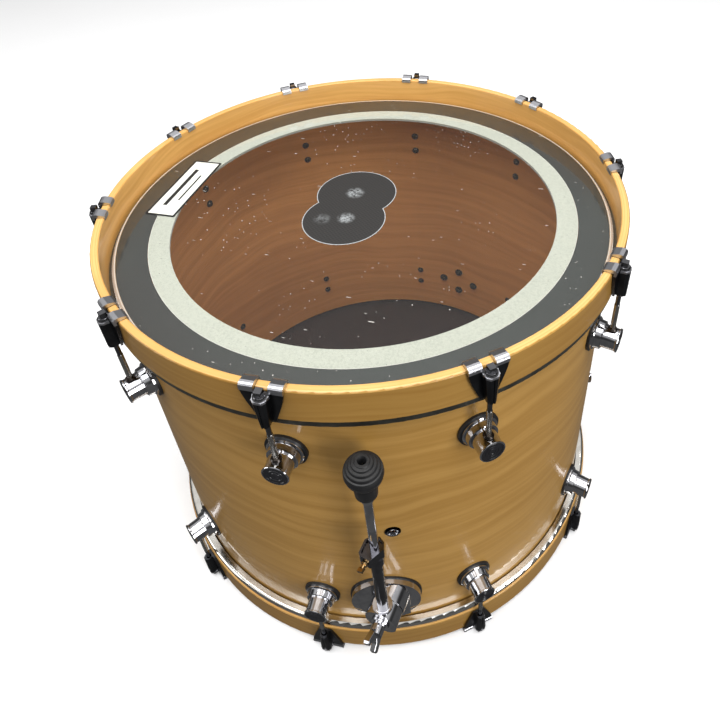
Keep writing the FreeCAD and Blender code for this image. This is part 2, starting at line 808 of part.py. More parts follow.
def on_leg(name, radius, low, high):
    """A cylinder on the leg's centre line between two heights."""
    place = Placement(Vector(size("leg_out"), size("leg_side"), size(low)), Rotation())
    return cylinder(name, radius, difference(high, low), place)


def spur_diamond():
    """The four bolts of a spur, in a diamond round its plate's centre, before its turn."""
    places = []
    for side, up in SPUR_BOLT_PLACES:
        turn = math.degrees(side / size("shell_inner"))
        shift = Placement(Vector(0, 0, size("spur_height") + up), Rotation())
        places.append(turn_about_axis(turn).multiply(shift))
    return places


def spur_bolt_places():
    """The bolts of both spurs. The diamond is its own mirror image."""
    places = []
    for angle in (size("spur_angle"), -size("spur_angle")):
        places += [turn_about_axis(angle).multiply(place) for place in spur_diamond()]
    return places


def make_spur_base():
    """The round plate on the shell and the boss that carries the leg."""
    height = size("spur_height")
    plate = radial_cylinder("spur_plate_disc", "spur_plate", "shell_inner", "spur_face", 0.0, height)
    rim = Part.makeCylinder(size("spur_plate") + 5, 20, Vector(size("spur_face") - 3.0, 0, height), X_AXIS)
    dome = Part.makeCone(size("spur_plate"), size("spur_plate") - 8.0, 3.0,
                         Vector(size("spur_face") - 3.0, 0, height), X_AXIS)
    shaving = doc.addObject("Part::Feature", "spur_plate_shaving")
    shaving.Shape = rim.cut(dome)
    domed = cut("spur_plate_domed", plate, shaving)
    boss = along_pivot("spur_boss", "boss_radius", "-26", "0 - knuckle_half - pivot_gap")
    web = doc.addObject("Part::Feature", "spur_web")
    web.Shape = spur_web_shape()
    seat = cylinder("spur_seat_tool", "shell_outer + spur_gasket_thick", "160",
                    Placement(Vector(0, 0, height - 80), Rotation()))
    bolt_hole = along_pivot("spur_bolt_tool", "bolt_radius + 0.1", "-22", "20")
    taps = []
    for index, place in enumerate(spur_diamond()):
        tap = radial_cylinder("spur_tap_%d" % index, "mount_bolt + 0.05", "shell_inner", "shell_outer + 6.6")
        tap.Placement = place.multiply(tap.Placement)
        taps.append(tap)
    return cut("spur_base_local", fuse("spur_base_blank", [domed, boss, web]),
               fuse("spur_base_tools", [seat, bolt_hole] + taps))


def spur_web_shape():
    """A tapering web from the plate's middle to the boss, on the side away from the leg."""
    direction = pivot_direction()
    across = Vector(-direction.y, direction.x, 0)
    reach = size("boss_radius")
    low = pivot_point() - direction * 24.0
    high = pivot_point() - direction * (size("knuckle_half") + size("pivot_gap"))
    wires = []
    for centre, half, drop in ((low, reach - 1.0, 34.0), (high, reach - 9.0, reach - 2.0)):
        base = centre + across * 2.0
        corners = [base - across * half, base + across * half]
        corners += [corners[1] - Z_AXIS * drop, corners[0] - Z_AXIS * drop]
        wires.append(Part.makePolygon(corners + [corners[0]]))
    return Part.makeLoft(wires, True, True)


def make_spur_knuckle():
    """The hub that turns on the boss, with the socket for the leg tube."""
    hub = along_pivot("knuckle_hub", "knuckle_radius", "0 - knuckle_half", "knuckle_half")
    socket = on_leg("knuckle_socket", "knuckle_half - 0.1", "pivot_height", "pivot_height + 24")
    ring = on_leg("knuckle_ring", "tube_radius + 4.4", "pivot_height + 20", "pivot_height + 23.4")
    tube_hole = on_leg("knuckle_tube_tool", "tube_radius", "pivot_height + 6", "pivot_height + 40")
    bolt_hole = along_pivot("knuckle_bolt_tool", "bolt_radius + 0.1", "-30", "30")
    return cut("spur_knuckle_local", fuse("knuckle_blank", [hub, socket, ring]),
               fuse("knuckle_tools", [tube_hole, bolt_hole]))


def make_spur_collar():
    """The clamp at the top of the leg tube: a pointed, dished block on a round sleeve, split at the back."""
    outline = [(13.4, -4.6), (3.2, 9.0), (-3.6, 9.4), (-9.4, 5.2), (-9.8, -5.0), (-7.5, -9.2), (4.6, -14.8),
               (7.5, -13.8)]
    leg = Vector(size("leg_out"), size("leg_side"), size("collar_high - collar_block"))
    corners = [leg + Vector(out, side, 0) for out, side in outline]
    face = Part.Face(Part.makePolygon(corners + [corners[0]]))
    block = doc.addObject("Part::Feature", "collar_block")
    solid = face.extrude(Vector(0, 0, size("collar_block")))
    upright = [edge for edge in solid.Edges if abs(edge.tangentAt(edge.FirstParameter).z) > 0.99]
    block.Shape = solid.makeFillet(1.0, upright)
    rim = [leg + Vector(0.84 * out, 0.84 * side, size("collar_block - collar_dish")) for out, side in outline]
    dish = doc.addObject("Part::Feature", "collar_dish_tool")
    dish.Shape = Part.Face(Part.makePolygon(rim + [rim[0]])).extrude(Vector(0, 0, size("collar_dish") + 1))
    sleeve = on_leg("collar_sleeve_round", "collar_sleeve", "collar_low", "collar_high - collar_block + 1")
    tube_hole = on_leg("collar_tube_tool", "tube_radius", "collar_low - 1", "tube_top")
    rod_hole = on_leg("collar_rod_tool", "leg_rod + 0.1", "collar_low", "collar_high + 1")
    slot = doc.addObject("Part::Box", "collar_slot_tool")
    slot.Length = 30
    slot.Width = 1.6
    slot.Height = 60
    slot.Placement = Placement(leg + Vector(-3.0, 2.2, -30), Rotation(Z_AXIS, 205))
    return cut("spur_collar_local", fuse("collar_blank", [block, sleeve]),
               fuse("collar_tools", [dish, tube_hole, rod_hole, slot, clamp_screw_part("clamp_hole", 0.08)]))


def clamp_axis():
    """The foot and the direction of the collar's clamp screw, square to the block's flat."""
    tilt = math.radians(33.0)
    start = Vector(size("leg_out") + 4.9, size("leg_side") - 5.5, size("collar_high") - 9.0)
    return start, Vector(math.cos(tilt), -math.sin(tilt), 0)


def clamp_screw_part(name, extra):
    """The clamp screw's shank, or the hole for it with some extra radius."""
    start, direction = clamp_axis()
    shank = doc.addObject("Part::Cylinder", name)
    shank.Radius = 1.8 + extra
    shank.Height = 8.6
    shank.Placement = frame_along(start - direction * extra, direction)
    return shank


def make_clamp_screw():
    """The collar's small thumb screw."""
    start, direction = clamp_axis()
    shank = clamp_screw_part("clamp_shank", 0.0)
    flange = Part.makeCylinder(3.4, 1.4, start + direction * 7.4, direction)
    hub = Part.makeCylinder(2.3, 4.0, start + direction * 8.6, direction)
    wing = Part.makeBox(2.6, 7.0, 4.6, Vector(-1.3, -3.5, 0))
    wing.Placement = frame_along(start + direction * 11.6, direction)
    grip = doc.addObject("Part::Feature", "clamp_grip")
    grip.Shape = flange.multiFuse([hub, wing])
    return fuse("clamp_screw_local", [shank, grip])


def make_pivot_bolt():
    """The wing bolt that locks the fold."""
    shank = along_pivot("bolt_shank", "bolt_radius", "-20", "knuckle_half + 2")
    washer = along_pivot("bolt_washer", "bolt_radius + 6", "knuckle_half + pivot_gap", "knuckle_half + 2.4")
    hub = along_pivot("bolt_hub", "bolt_radius + 3", "knuckle_half + 2", "knuckle_half + 13")
    direction = pivot_direction()
    outline = [(-6.0, 0.0), (6.0, 0.0), (8.0, 6.0), (10.5, 16.5), (9.0, 18.5), (5.2, 18.5), (3.4, 12.0),
               (0.0, 9.0), (-3.4, 12.0), (-5.2, 18.5), (-9.0, 18.5), (-10.5, 16.5), (-8.0, 6.0)]
    corners = [Vector(side, -3.5, up) for side, up in outline]
    solid = Part.Face(Part.makePolygon(corners + [corners[0]])).extrude(Vector(0, 7.0, 0))
    long_edges = [edge for edge in solid.Edges if abs(edge.tangentAt(edge.FirstParameter).y) < 0.01]
    solid = solid.makeFillet(1.0, long_edges)
    solid.Placement = frame_along(pivot_point() + direction * (size("knuckle_half") + 8.0), direction)
    wings = doc.addObject("Part::Feature", "bolt_wings")
    wings.Shape = solid
    return fuse("pivot_bolt_local", [shank, washer, hub, wings])


def make_leg_tube():
    """The spur's outer tube."""
    outer = on_leg("leg_tube_outer", "tube_radius", "pivot_height + 6", "tube_top")
    bore = on_leg("leg_tube_tool", "tube_bore", "pivot_height + 5", "tube_top + 1")
    return cut("spur_tube_local", outer, bore)


def leg_turned(name, points):
    """A piece turned about the leg's centre line, from pairs of radius and height."""
    body = new_body(name)
    revolve(body, name + "_turned", points)
    body.Placement = Placement(Vector(size("leg_out"), size("leg_side"), 0), Rotation())
    return body


def make_leg_rod():
    """The spur's inner rod with its spike."""
    return leg_turned("spur_rod_local", [
        ("0", "leg_rod_low"), ("leg_rod - 1", "leg_rod_low"), ("leg_rod", "leg_rod_low + 1"),
        ("leg_rod", "leg_rod_high - 1"), ("leg_rod - 1", "leg_rod_high"), ("2.9", "leg_rod_high"),
        ("2.9", "leg_rod_high + 9"), ("0.6", "spike_tip"), ("0", "spike_tip"),
    ])


def make_foot():
    """The stepped rubber foot, with its metal sleeve, that screws along the inner rod."""
    return leg_turned("spur_foot_local", [
        ("leg_rod + 0.1", "foot_low"), ("sleeve_radius - 0.4", "foot_low"),
        ("sleeve_radius", "foot_low + 0.5"), ("sleeve_radius", "foot_low + sleeve_tall"),
        ("9.2", "foot_low + sleeve_tall"), ("10.3", "foot_low + sleeve_tall + 1.2"),
        ("10.8", "foot_low + 20"), ("11.4", "foot_low + 29"), ("14.4", "foot_low + 33"),
        ("16.6", "foot_low + 37"), ("foot_radius", "foot_low + 41"), ("17.3", "foot_low + 44.4"),
        ("16.6", "foot_low + 47.2"), ("15.2", "foot_low + 47.4"), ("14.7", "foot_low + 50.4"),
        ("14.1", "foot_low + 50.9"), ("12.7", "foot_low + 51"), ("12.2", "foot_low + 53.5"),
        ("11.6", "foot_low + 54"), ("9.9", "foot_low + 54.1"), ("9.4", "foot_low + 56"),
        ("8.8", "foot_low + 56.4"), ("7", "foot_low + 56.5"), ("6.6", "foot_high - 0.3"),
        ("6.2", "foot_high"), ("4.2", "foot_high"), ("3.4", "foot_high - 2"),
        ("3.4", "leg_rod_high + foot_travel"), ("leg_rod + 0.1", "leg_rod_high + foot_travel"),
    ])


def make_spurs():
    """Both spurs: the left one turned into place, the right one its mirror image."""
    height = size("spur_height")
    pieces = {
        "spur_base": make_spur_base(),
        "spur_knuckle": make_spur_knuckle(),
        "spur_leg_tube": make_leg_tube(),
        "spur_clamp_collar": make_spur_collar(),
        "spur_clamp_screw": make_clamp_screw(),
        "spur_pivot_bolt": make_pivot_bolt(),
        "spur_leg_rod": make_leg_rod(),
        "spur_foot": make_foot(),
    }
    for name, local in pieces.items():
        local.Placement = turn_about_axis(size("spur_angle")).multiply(local.Placement)
        finish_node("left_" + name, local)
        twin = doc.addObject("Part::Mirroring", "right_" + name + "_mirror")
        twin.Source = local
        twin.Normal = Y_AXIS
        twin.Base = Vector(0, 0, 0)
        finish_node("right_" + name, twin)
    gasket = saddle("spur_gasket_local", "spur_gasket", "spur_gasket_thick", "mount_bolt + 0.3",
                    spur_diamond(), height)
    spots = [turn_about_axis(size("spur_angle")), turn_about_axis(-size("spur_angle"))]
    group_node("spur_gaskets", gasket, spots)
    body = new_body("mount_bolt_body")
    revolve(body, "mount_bolt_turned", [
        ("shell_inner - 5.2", "0"), ("shell_inner - 5.2", "3.4"), ("shell_inner - 4.2", "4.6"),
        ("shell_inner - 1.8", "4.6"), ("shell_inner - 1.8", "6.5"), ("shell_inner - 0.2", "6.5"),
        ("shell_inner - 0.2", "mount_bolt"), ("shell_outer + 6", "mount_bolt"), ("shell_outer + 6", "0"),
    ], role="XY_Plane", axis="H_Axis")
    group_node("spur_mount_bolts", body, spur_bolt_places())


# ---------------------------------------------------------------- whole drum

def add_worked_out_sizes():
    """Heights and halves that follow from the driving dimensions."""
    hook = DIMS["hook_thick"]
    proud = DIMS["hoop_proud"]
    depth = DIMS["shell_depth"]
    worked = {
        "low_edge": "=hook_thick + hoop_proud",
        "high_edge": "=hook_thick + hoop_proud + shell_depth",
        "hoop_top": "=hook_thick + 2 * hoop_proud + shell_depth",
        "mid_height": "=hook_thick + hoop_proud + shell_depth / 2",
        "lug_height": "=hook_thick + 2 * hoop_proud + shell_depth - lug_drop",
        "head_seat": "=hook_thick + 2 * hoop_proud + shell_depth - seat_drop + washer_thick",
        "key_half": "=key_square / 2",
        "patch_apart_half": "=patch_apart / 2",
        "claw_wide_half": "=claw_wide / 2",
        "hook_gap_half": "=claw_wide / 2 - hook_wide",
    }
    for row, (alias, text) in enumerate(worked.items(), start=len(DIMS) + 2):
        sheet.set("A%d" % row, alias)
        sheet.set("B%d" % row, text)
        sheet.setAlias("B%d" % row, alias)
    doc.recompute()
    total = 2 * hook + 2 * proud + depth
    print("overall height over the claws: %.1f mm" % total)


def check_document():
    """Stops if any object failed or any node's shape is missing or not valid."""
    doc.recompute()
    for thing in doc.Objects:
        if "Invalid" in thing.State or "Error" in thing.State:
            raise RuntimeError("%s is %s" % (thing.Name, thing.State))
    for name, thing in nodes.items():
        shape = thing.Shape
        if shape.isNull() or not shape.isValid() or not shape.Solids:
            raise RuntimeError(name + " has no valid solid")


def write_steps():
    """Writes each node's shape to its own file."""
    os.makedirs("parts", exist_ok=True)
    for name, thing in sorted(nodes.items()):
        thing.Shape.exportStep(os.path.join("parts", name + ".step"))
    print("%d nodes written" % len(nodes))


def main():
    """Builds the drum and writes its nodes."""
    fill_sheet()
    add_worked_out_sizes()
    make_shell()
    make_hoops()
    make_head_layers()
    make_claws()
    make_rods()
    make_lugs()
    make_vent()
    make_spurs()
    check_document()
    write_steps()


main()
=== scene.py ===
"""Looks of a 22 by 16 inch bass drum that stands on its resonant hoop, batter head up.

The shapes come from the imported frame. Each sub-assembly of the drum is a class that builds
what the frame lacks and dresses its nodes in a finish, and each finish writes itself into a
node material. Lengths are metres unless a name says millimetres.
"""

import logging
import math
from dataclasses import dataclass
from enum import Enum
from typing import Any, Mapping, Optional, Sequence

import bmesh
import bpy
from mathutils import Matrix, Vector


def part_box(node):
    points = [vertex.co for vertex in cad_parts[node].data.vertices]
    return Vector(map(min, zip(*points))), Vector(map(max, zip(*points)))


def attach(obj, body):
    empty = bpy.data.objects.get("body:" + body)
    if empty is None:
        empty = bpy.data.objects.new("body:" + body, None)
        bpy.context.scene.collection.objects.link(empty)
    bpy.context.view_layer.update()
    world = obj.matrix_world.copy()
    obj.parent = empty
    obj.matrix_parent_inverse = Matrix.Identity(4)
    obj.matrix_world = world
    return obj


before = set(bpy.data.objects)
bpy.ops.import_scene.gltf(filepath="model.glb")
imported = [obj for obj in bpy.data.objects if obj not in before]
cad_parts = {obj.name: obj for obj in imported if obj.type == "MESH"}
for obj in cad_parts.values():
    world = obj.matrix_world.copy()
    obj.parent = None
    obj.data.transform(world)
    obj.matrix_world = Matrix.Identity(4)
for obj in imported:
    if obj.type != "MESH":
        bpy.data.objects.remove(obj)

LOG = logging.getLogger("bass_drum")
Tree = bpy.types.NodeTree
Node = bpy.types.Node
Socket = bpy.types.NodeSocket
MM = 0.001
MID_HEIGHT = sum(corner.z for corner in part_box("shell")) / 2


class Side(Enum):
    """Which of the two spurs a class stands for, as the drummer sits."""

    LEFT = "left"
    RIGHT = "right"


class Skin(Enum):
    """The two heads of the drum."""

    BATTER = "batter"
    RESONANT = "resonant"


def linear_colour(code: str) -> tuple[float, float, float, float]:
    """Turns an sRGB hex code into the linear colour that shaders use.

    Args:
        code: The colour as six hex digits, with or without a leading #.

    Returns:
        Red, green and blue in linear light, and an alpha of one.
    """
    digits = code.lstrip("#")
    channels = []
    for start in (0, 2, 4):
        value = int(digits[start : start + 2], 16) / 255
        channels.append(value / 12.92 if value <= 0.04045 else ((value + 0.055) / 1.055) ** 2.4)
    return channels[0], channels[1], channels[2], 1.0


def add_node(
    tree: bpy.types.NodeTree,
    kind: str,
    settings: Optional[Mapping[Any, Any]] = None,
    links: Optional[Mapping[Any, Any]] = None,
) -> bpy.types.Node:
    """Adds one node to a tree, with its settings and links.

    Args:
        tree: The node tree that gets the node.
        kind: Blender's name for the kind of node.
        settings: Values for the node's own options or, by name or index, for its inputs.
        links: Inputs by name or index, each with the node or socket that feeds it. A node
            stands for its first output.

    Returns:
        The new node.
    """
    node = tree.nodes.new(kind)
    for key, value in (settings or {}).items():
        if isinstance(key, str) and hasattr(node, key):
            setattr(node, key, value)
        else:
            node.inputs[key].default_value = value
    for key, source in (links or {}).items():
        socket = source.outputs[0] if isinstance(source, bpy.types.Node) else source
        tree.links.new(socket, node.inputs[key])
    return node


def ramp_between(
    tree: bpy.types.NodeTree, value: Any, low: float, high: float
) -> bpy.types.Node:
    """Turns a value into a soft mask, 0 at low and 1 at high.

    Args:
        tree: The node tree that gets the mask.
        value: The node or socket that is measured.
        low: Where the mask is 0.
        high: Where the mask is 1. It may be less than low.

    Returns:
        The node whose first output is the mask.
    """
    falling = low > high
    settings = {"interpolation_type": "SMOOTHSTEP", 1: min(low, high), 2: max(low, high)}
    settings.update({3: 1.0, 4: 0.0} if falling else {3: 0.0, 4: 1.0})
    return add_node(tree, "ShaderNodeMapRange", settings, {0: value})


def distance_from_axis(tree: bpy.types.NodeTree, where: Any) -> bpy.types.Node:
    """Measures how far a point is from the drum's axis.

    Args:
        tree: The node tree that gets the measure.
        where: The socket that gives the point.

    Returns:
        The node whose first output is the radius in metres.
    """
    flat = add_node(tree, "ShaderNodeVectorMath", {"operation": "MULTIPLY", 1: (1, 1, 0)}, {0: where})
    length = add_node(tree, "ShaderNodeVectorMath", {"operation": "LENGTH"}, {0: flat})
    return add_node(tree, "ShaderNodeMath", {"operation": "ADD", 1: 0.0}, {0: length.outputs["Value"]})


def height_from_middle(tree: bpy.types.NodeTree, where: Any) -> bpy.types.Node:
    """Measures how far a point is above or below the drum's middle.

    Args:
        tree: The node tree that gets the measure.
        where: The socket that gives the point.

    Returns:
        The node whose first output is the height without its sign, in metres.
    """
    parts = add_node(tree, "ShaderNodeSeparateXYZ", links={0: where})
    above = add_node(tree, "ShaderNodeMath", {"operation": "SUBTRACT", 1: MID_HEIGHT}, {0: parts.outputs[2]})
    return add_node(tree, "ShaderNodeMath", {"operation": "ABSOLUTE"}, {0: above})


@dataclass(frozen=True)
class Finish:
    """A surface finish that writes itself into a node material."""

    name: str

    def material(self) -> bpy.types.Material:
        """Makes the material, or finds it if it is made already.

        Returns:
            The material, named for what the real one is.
        """
        found = bpy.data.materials.get(self.name)
        if found is not None:
            return found
        made = bpy.data.materials.new(self.name)
        made.use_nodes = True
        tree = made.node_tree
        tree.nodes.clear()
        shader = add_node(tree, "ShaderNodeBsdfPrincipled")
        output = add_node(tree, "ShaderNodeOutputMaterial", links={"Surface": shader})
        where = add_node(tree, "ShaderNodeTexCoord").outputs["Object"]
        self.write(tree, shader, output, where)
        return made

    def write(self, tree: Tree, shader: Node, output: Node, where: Socket) -> None:
        """Writes the finish's nodes.

        Args:
            tree: The material's node tree.
            shader: Its Principled shader.
            output: Its output, already fed by the shader.
            where: The point on the piece, in metres.
        """
        raise NotImplementedError


@dataclass(frozen=True)
class LacqueredMaple(Finish):
    """Maple under sprayed and polished clear lacquer: pale streaks under a wet-looking gloss."""

    pale: str
    deep: str
    bare: str
    bare_inside_mm: float
    stain: str
    stain_from_mm: float
    streak_mm: float = 9.0
    fibre_mm: float = 2.6  # real fibres are finer, drawn this coarse so that they show
    ring_mm: float = 21.0
    ply_lines_mm: tuple[float, ...] = ()

    def write(self, tree: Tree, shader: Node, output: Node, where: Socket) -> None:
        """Writes grain that runs round the drum, a figure of growth rings, and lacquer.

        Args:
            tree: The material's node tree.
            shader: Its Principled shader.
            output: Its output, already fed by the shader.
            where: The point on the piece, in metres.
        """
        drift = add_node(tree, "ShaderNodeTexNoise", {"Scale": 3.2, "Detail": 2.0}, {"Vector": where})
        parts = add_node(tree, "ShaderNodeSeparateXYZ", links={0: where})
        lifted = add_node(
            tree, "ShaderNodeMath", {"operation": "MULTIPLY_ADD", 1: 0.09}, {0: drift, 2: parts.outputs[2]}
        )
        bent = add_node(
            tree, "ShaderNodeCombineXYZ", links={0: parts.outputs[0], 1: parts.outputs[1], 2: lifted}
        )
        streak_space = add_node(
            tree,
            "ShaderNodeMapping",
            {"Scale": (3.0, 3.0, 1000 / self.streak_mm)},
            {"Vector": bent},
        )
        streaks = add_node(
            tree, "ShaderNodeTexNoise", {"Scale": 1.0, "Detail": 4.0, "Roughness": 0.55}, {"Vector": streak_space}
        )
        fibre_space = add_node(
            tree,
            "ShaderNodeMapping",
            {"Scale": (22.0, 22.0, 1000 / self.fibre_mm)},
            {"Vector": bent},
        )
        fibres = add_node(
            tree, "ShaderNodeTexNoise", {"Scale": 1.0, "Detail": 3.0, "Roughness": 0.6}, {"Vector": fibre_space}
        )
        phase = add_node(
            tree, "ShaderNodeMath", {"operation": "MULTIPLY", 1: 2000 * math.pi / self.ring_mm}, {0: lifted}
        )
        rings = add_node(tree, "ShaderNodeMath", {"operation": "SINE"}, {0: phase})
        clouds = add_node(tree, "ShaderNodeTexNoise", {"Scale": 5.5, "Detail": 3.0}, {"Vector": where})
        ringed = add_node(
            tree, "ShaderNodeMath", {"operation": "MULTIPLY_ADD", 1: 0.04}, {0: rings, 2: streaks}
        )
        fibred = add_node(
            tree, "ShaderNodeMath", {"operation": "MULTIPLY_ADD", 1: 0.34}, {0: fibres, 2: ringed}
        )
        clouded = add_node(
            tree, "ShaderNodeMath", {"operation": "MULTIPLY_ADD", 1: 0.5}, {0: clouds, 2: fibred}
        )
        grain = ramp_between(tree, clouded, 0.68, 1.16)
        veneer = add_node(
            tree,
            "ShaderNodeMix",
            {"data_type": "RGBA", 6: linear_colour(self.deep), 7: linear_colour(self.pale)},
            {0: grain},
        ).outputs[2]
        radius = distance_from_axis(tree, where)
        inside = ramp_between(
            tree, radius, self.bare_inside_mm * MM + 0.0008, self.bare_inside_mm * MM - 0.0008
        )
        bare = add_node(
            tree,
            "ShaderNodeMix",
            {"data_type": "RGBA", "blend_type": "MULTIPLY", 0: 1.0, 7: linear_colour(self.bare)},
            {6: veneer},
        ).outputs[2]
        outside = ramp_between(
            tree, radius, self.stain_from_mm * MM - 0.0004, self.stain_from_mm * MM + 0.0004
        )
        stained = add_node(
            tree,
            "ShaderNodeMix",
            {"data_type": "RGBA", "blend_type": "MULTIPLY", 7: linear_colour(self.stain)},
            {0: outside, 6: veneer},
        ).outputs[2]
        colour = add_node(tree, "ShaderNodeMix", {"data_type": "RGBA"}, {0: inside, 6: stained, 7: bare}).outputs[2]
        for line_mm in self.ply_lines_mm:
            apart = add_node(tree, "ShaderNodeMath", {"operation": "SUBTRACT", 1: line_mm * MM}, {0: radius})
            size = add_node(tree, "ShaderNodeMath", {"operation": "ABSOLUTE"}, {0: apart})
            glue = ramp_between(tree, size, 0.0006, 0.0002)
            colour = add_node(
                tree,
                "ShaderNodeMix",
                {"data_type": "RGBA", 7: linear_colour(self.deep)},
                {0: glue, 6: colour},
            ).outputs[2]
        tree.links.new(colour, shader.inputs["Base Color"])
        dulled = add_node(
            tree, "ShaderNodeMath", {"operation": "MULTIPLY_ADD", 1: 0.2, 2: 0.3}, {0: fibres}
        )
        tree.links.new(dulled.outputs[0], shader.inputs["Roughness"])
        bump = add_node(tree, "ShaderNodeBump", {"Strength": 0.06, "Distance": 0.0004}, {"Height": fibres})
        tree.links.new(bump.outputs[0], shader.inputs["Normal"])
        shader.inputs["Specular IOR Level"].default_value = 0.25
        shader.inputs["Coat Weight"].default_value = 0.5
        shader.inputs["Coat Roughness"].default_value = 0.06


@dataclass(frozen=True)
class PlatedMetal(Finish):
    """Polished plating: a mirror with the faint smears that handling leaves."""

    tint: str
    shade: str
    rough: float = 0.09
    smear: float = 0.05
    smear_mm: float = 14.0

    def write(self, tree: Tree, shader: Node, output: Node, where: Socket) -> None:
        """Writes a mirror whose tint and gloss drift a little.

        Args:
            tree: The material's node tree.
            shader: Its Principled shader.
            output: Its output, already fed by the shader.
            where: The point on the piece, in metres.
        """
        smears = add_node(
            tree, "ShaderNodeTexNoise", {"Scale": 1000 / self.smear_mm, "Detail": 4.0}, {"Vector": where}
        )
        colour = add_node(
            tree,
            "ShaderNodeMix",
            {"data_type": "RGBA", 6: linear_colour(self.shade), 7: linear_colour(self.tint)},
            {0: ramp_between(tree, smears, 0.35, 0.6)},
        )
        tree.links.new(colour.outputs[2], shader.inputs["Base Color"])
        gloss = add_node(
            tree, "ShaderNodeMath", {"operation": "MULTIPLY_ADD", 1: self.smear, 2: self.rough}, {0: smears}
        )
        tree.links.new(gloss.outputs[0], shader.inputs["Roughness"])
        shader.inputs["Metallic"].default_value = 1.0


@dataclass(frozen=True)
class HookedClawPlate(PlatedMetal):
    """Black nickel on a claw, with bright chrome on its hooks and on the rim of its seat."""

    hook: str = "#C2C2C6"
    hook_from_mm: float = 230.3
    seat_from_mm: float = 227.2
    seat_past_mm: float = 296.4

    def write(self, tree: Tree, shader: Node, output: Node, where: Socket) -> None:
        """Writes the plating, bright on the bend of the hooks and round the seat.

        Args:
            tree: The material's node tree.
            shader: Its Principled shader.
            output: Its output, already fed by the shader.
            where: The point on the piece, in metres.
        """
        super().write(tree, shader, output, where)
        dark = shader.inputs["Base Color"].links[0].from_socket
        bend = ramp_between(
            tree, height_from_middle(tree, where), self.hook_from_mm * MM - 0.0003, self.hook_from_mm * MM + 0.0003
        )
        tall = height_from_middle(tree, where)
        seat = ramp_between(tree, tall, self.seat_from_mm * MM - 0.0002, self.seat_from_mm * MM + 0.0002)
        radius = distance_from_axis(tree, where)
        past = ramp_between(tree, radius, self.seat_past_mm * MM - 0.0003, self.seat_past_mm * MM + 0.0003)
        rim = add_node(tree, "ShaderNodeMath", {"operation": "MULTIPLY"}, {0: seat, 1: past})
        bright = add_node(tree, "ShaderNodeMath", {"operation": "MAXIMUM"}, {0: bend, 1: rim})
        colour = add_node(
            tree, "ShaderNodeMix", {"data_type": "RGBA", 7: linear_colour(self.hook)}, {0: bright, 6: dark}
        )
        tree.links.new(colour.outputs[2], shader.inputs["Base Color"])


@dataclass(frozen=True)
class ThreadedRodPlate(PlatedMetal):
    """A drawn and rolled rod: darker on the shank, brighter on the rolled thread."""

    thread: str = "#BDBAB4"
    thread_within_mm: float = 182.2
    pitch_mm: float = 1.6  # the real pitch is half this, drawn coarser so that it shows

    def write(self, tree: Tree, shader: Node, output: Node, where: Socket) -> None:
        """Writes the shank's darker colour, and thread ridges below it.

        Args:
            tree: The material's node tree.
            shader: Its Principled shader.
            output: Its output, already fed by the shader.
            where: The point on the piece, in metres.
        """
        super().write(tree, shader, output, where)
        # The shank is coloured darker than the thread; it is one plating, with no darker coat of its own.
        shank = shader.inputs["Base Color"].links[0].from_socket
        threaded = ramp_between(
            tree,
            height_from_middle(tree, where),
            self.thread_within_mm * MM + 0.0005,
            self.thread_within_mm * MM - 0.0005,
        )
        colour = add_node(
            tree, "ShaderNodeMix", {"data_type": "RGBA", 7: linear_colour(self.thread)}, {0: threaded, 6: shank}
        )
        tree.links.new(colour.outputs[2], shader.inputs["Base Color"])
        parts = add_node(tree, "ShaderNodeSeparateXYZ", links={0: where})
        phase = add_node(
            tree,
            "ShaderNodeMath",
            {"operation": "MULTIPLY", 1: 2000 * math.pi / self.pitch_mm},
            {0: parts.outputs[2]},
        )
        ridge = add_node(tree, "ShaderNodeMath", {"operation": "SINE"}, {0: phase})
        cut = add_node(tree, "ShaderNodeMath", {"operation": "MULTIPLY"}, {0: ridge, 1: threaded})
        bump = add_node(tree, "ShaderNodeBump", {"Strength": 0.3, "Distance": 0.0002}, {"Height": cut})
        tree.links.new(bump.outputs[0], shader.inputs["Normal"])


@dataclass(frozen=True)
class MouldedPolymer(Finish):
    """Moulded rubber or plastic: dark, with the fine grain of its mould."""

    tint: str
    worn: str
    rough: float = 0.5
    grain_mm: float = 1.8
    grain_depth: float = 0.25

    def write(self, tree: Tree, shader: Node, output: Node, where: Socket) -> None:
        """Writes a mottled dark colour and a fine moulded grain.

        Args:
            tree: The material's node tree.
            shader: Its Principled shader.
            output: Its output, already fed by the shader.
            where: The point on the piece, in metres.
        """
        mottle = add_node(tree, "ShaderNodeTexNoise", {"Scale": 70.0, "Detail": 4.0}, {"Vector": where})
        colour = add_node(
            tree,
            "ShaderNodeMix",
            {"data_type": "RGBA", 6: linear_colour(self.tint), 7: linear_colour(self.worn)},
            {0: ramp_between(tree, mottle, 0.45, 0.75)},
        )
        tree.links.new(colour.outputs[2], shader.inputs["Base Color"])
        gloss = add_node(
            tree, "ShaderNodeMath", {"operation": "MULTIPLY_ADD", 1: 0.15, 2: self.rough - 0.07}, {0: mottle}
        )
        tree.links.new(gloss.outputs[0], shader.inputs["Roughness"])
        grain = add_node(
            tree, "ShaderNodeTexNoise", {"Scale": 1000 / self.grain_mm, "Detail": 2.0}, {"Vector": where}
        )
        bump = add_node(
            tree, "ShaderNodeBump", {"Strength": self.grain_depth, "Distance": 0.0002}, {"Height": grain}
        )
        tree.links.new(bump.outputs[0], shader.inputs["Normal"])


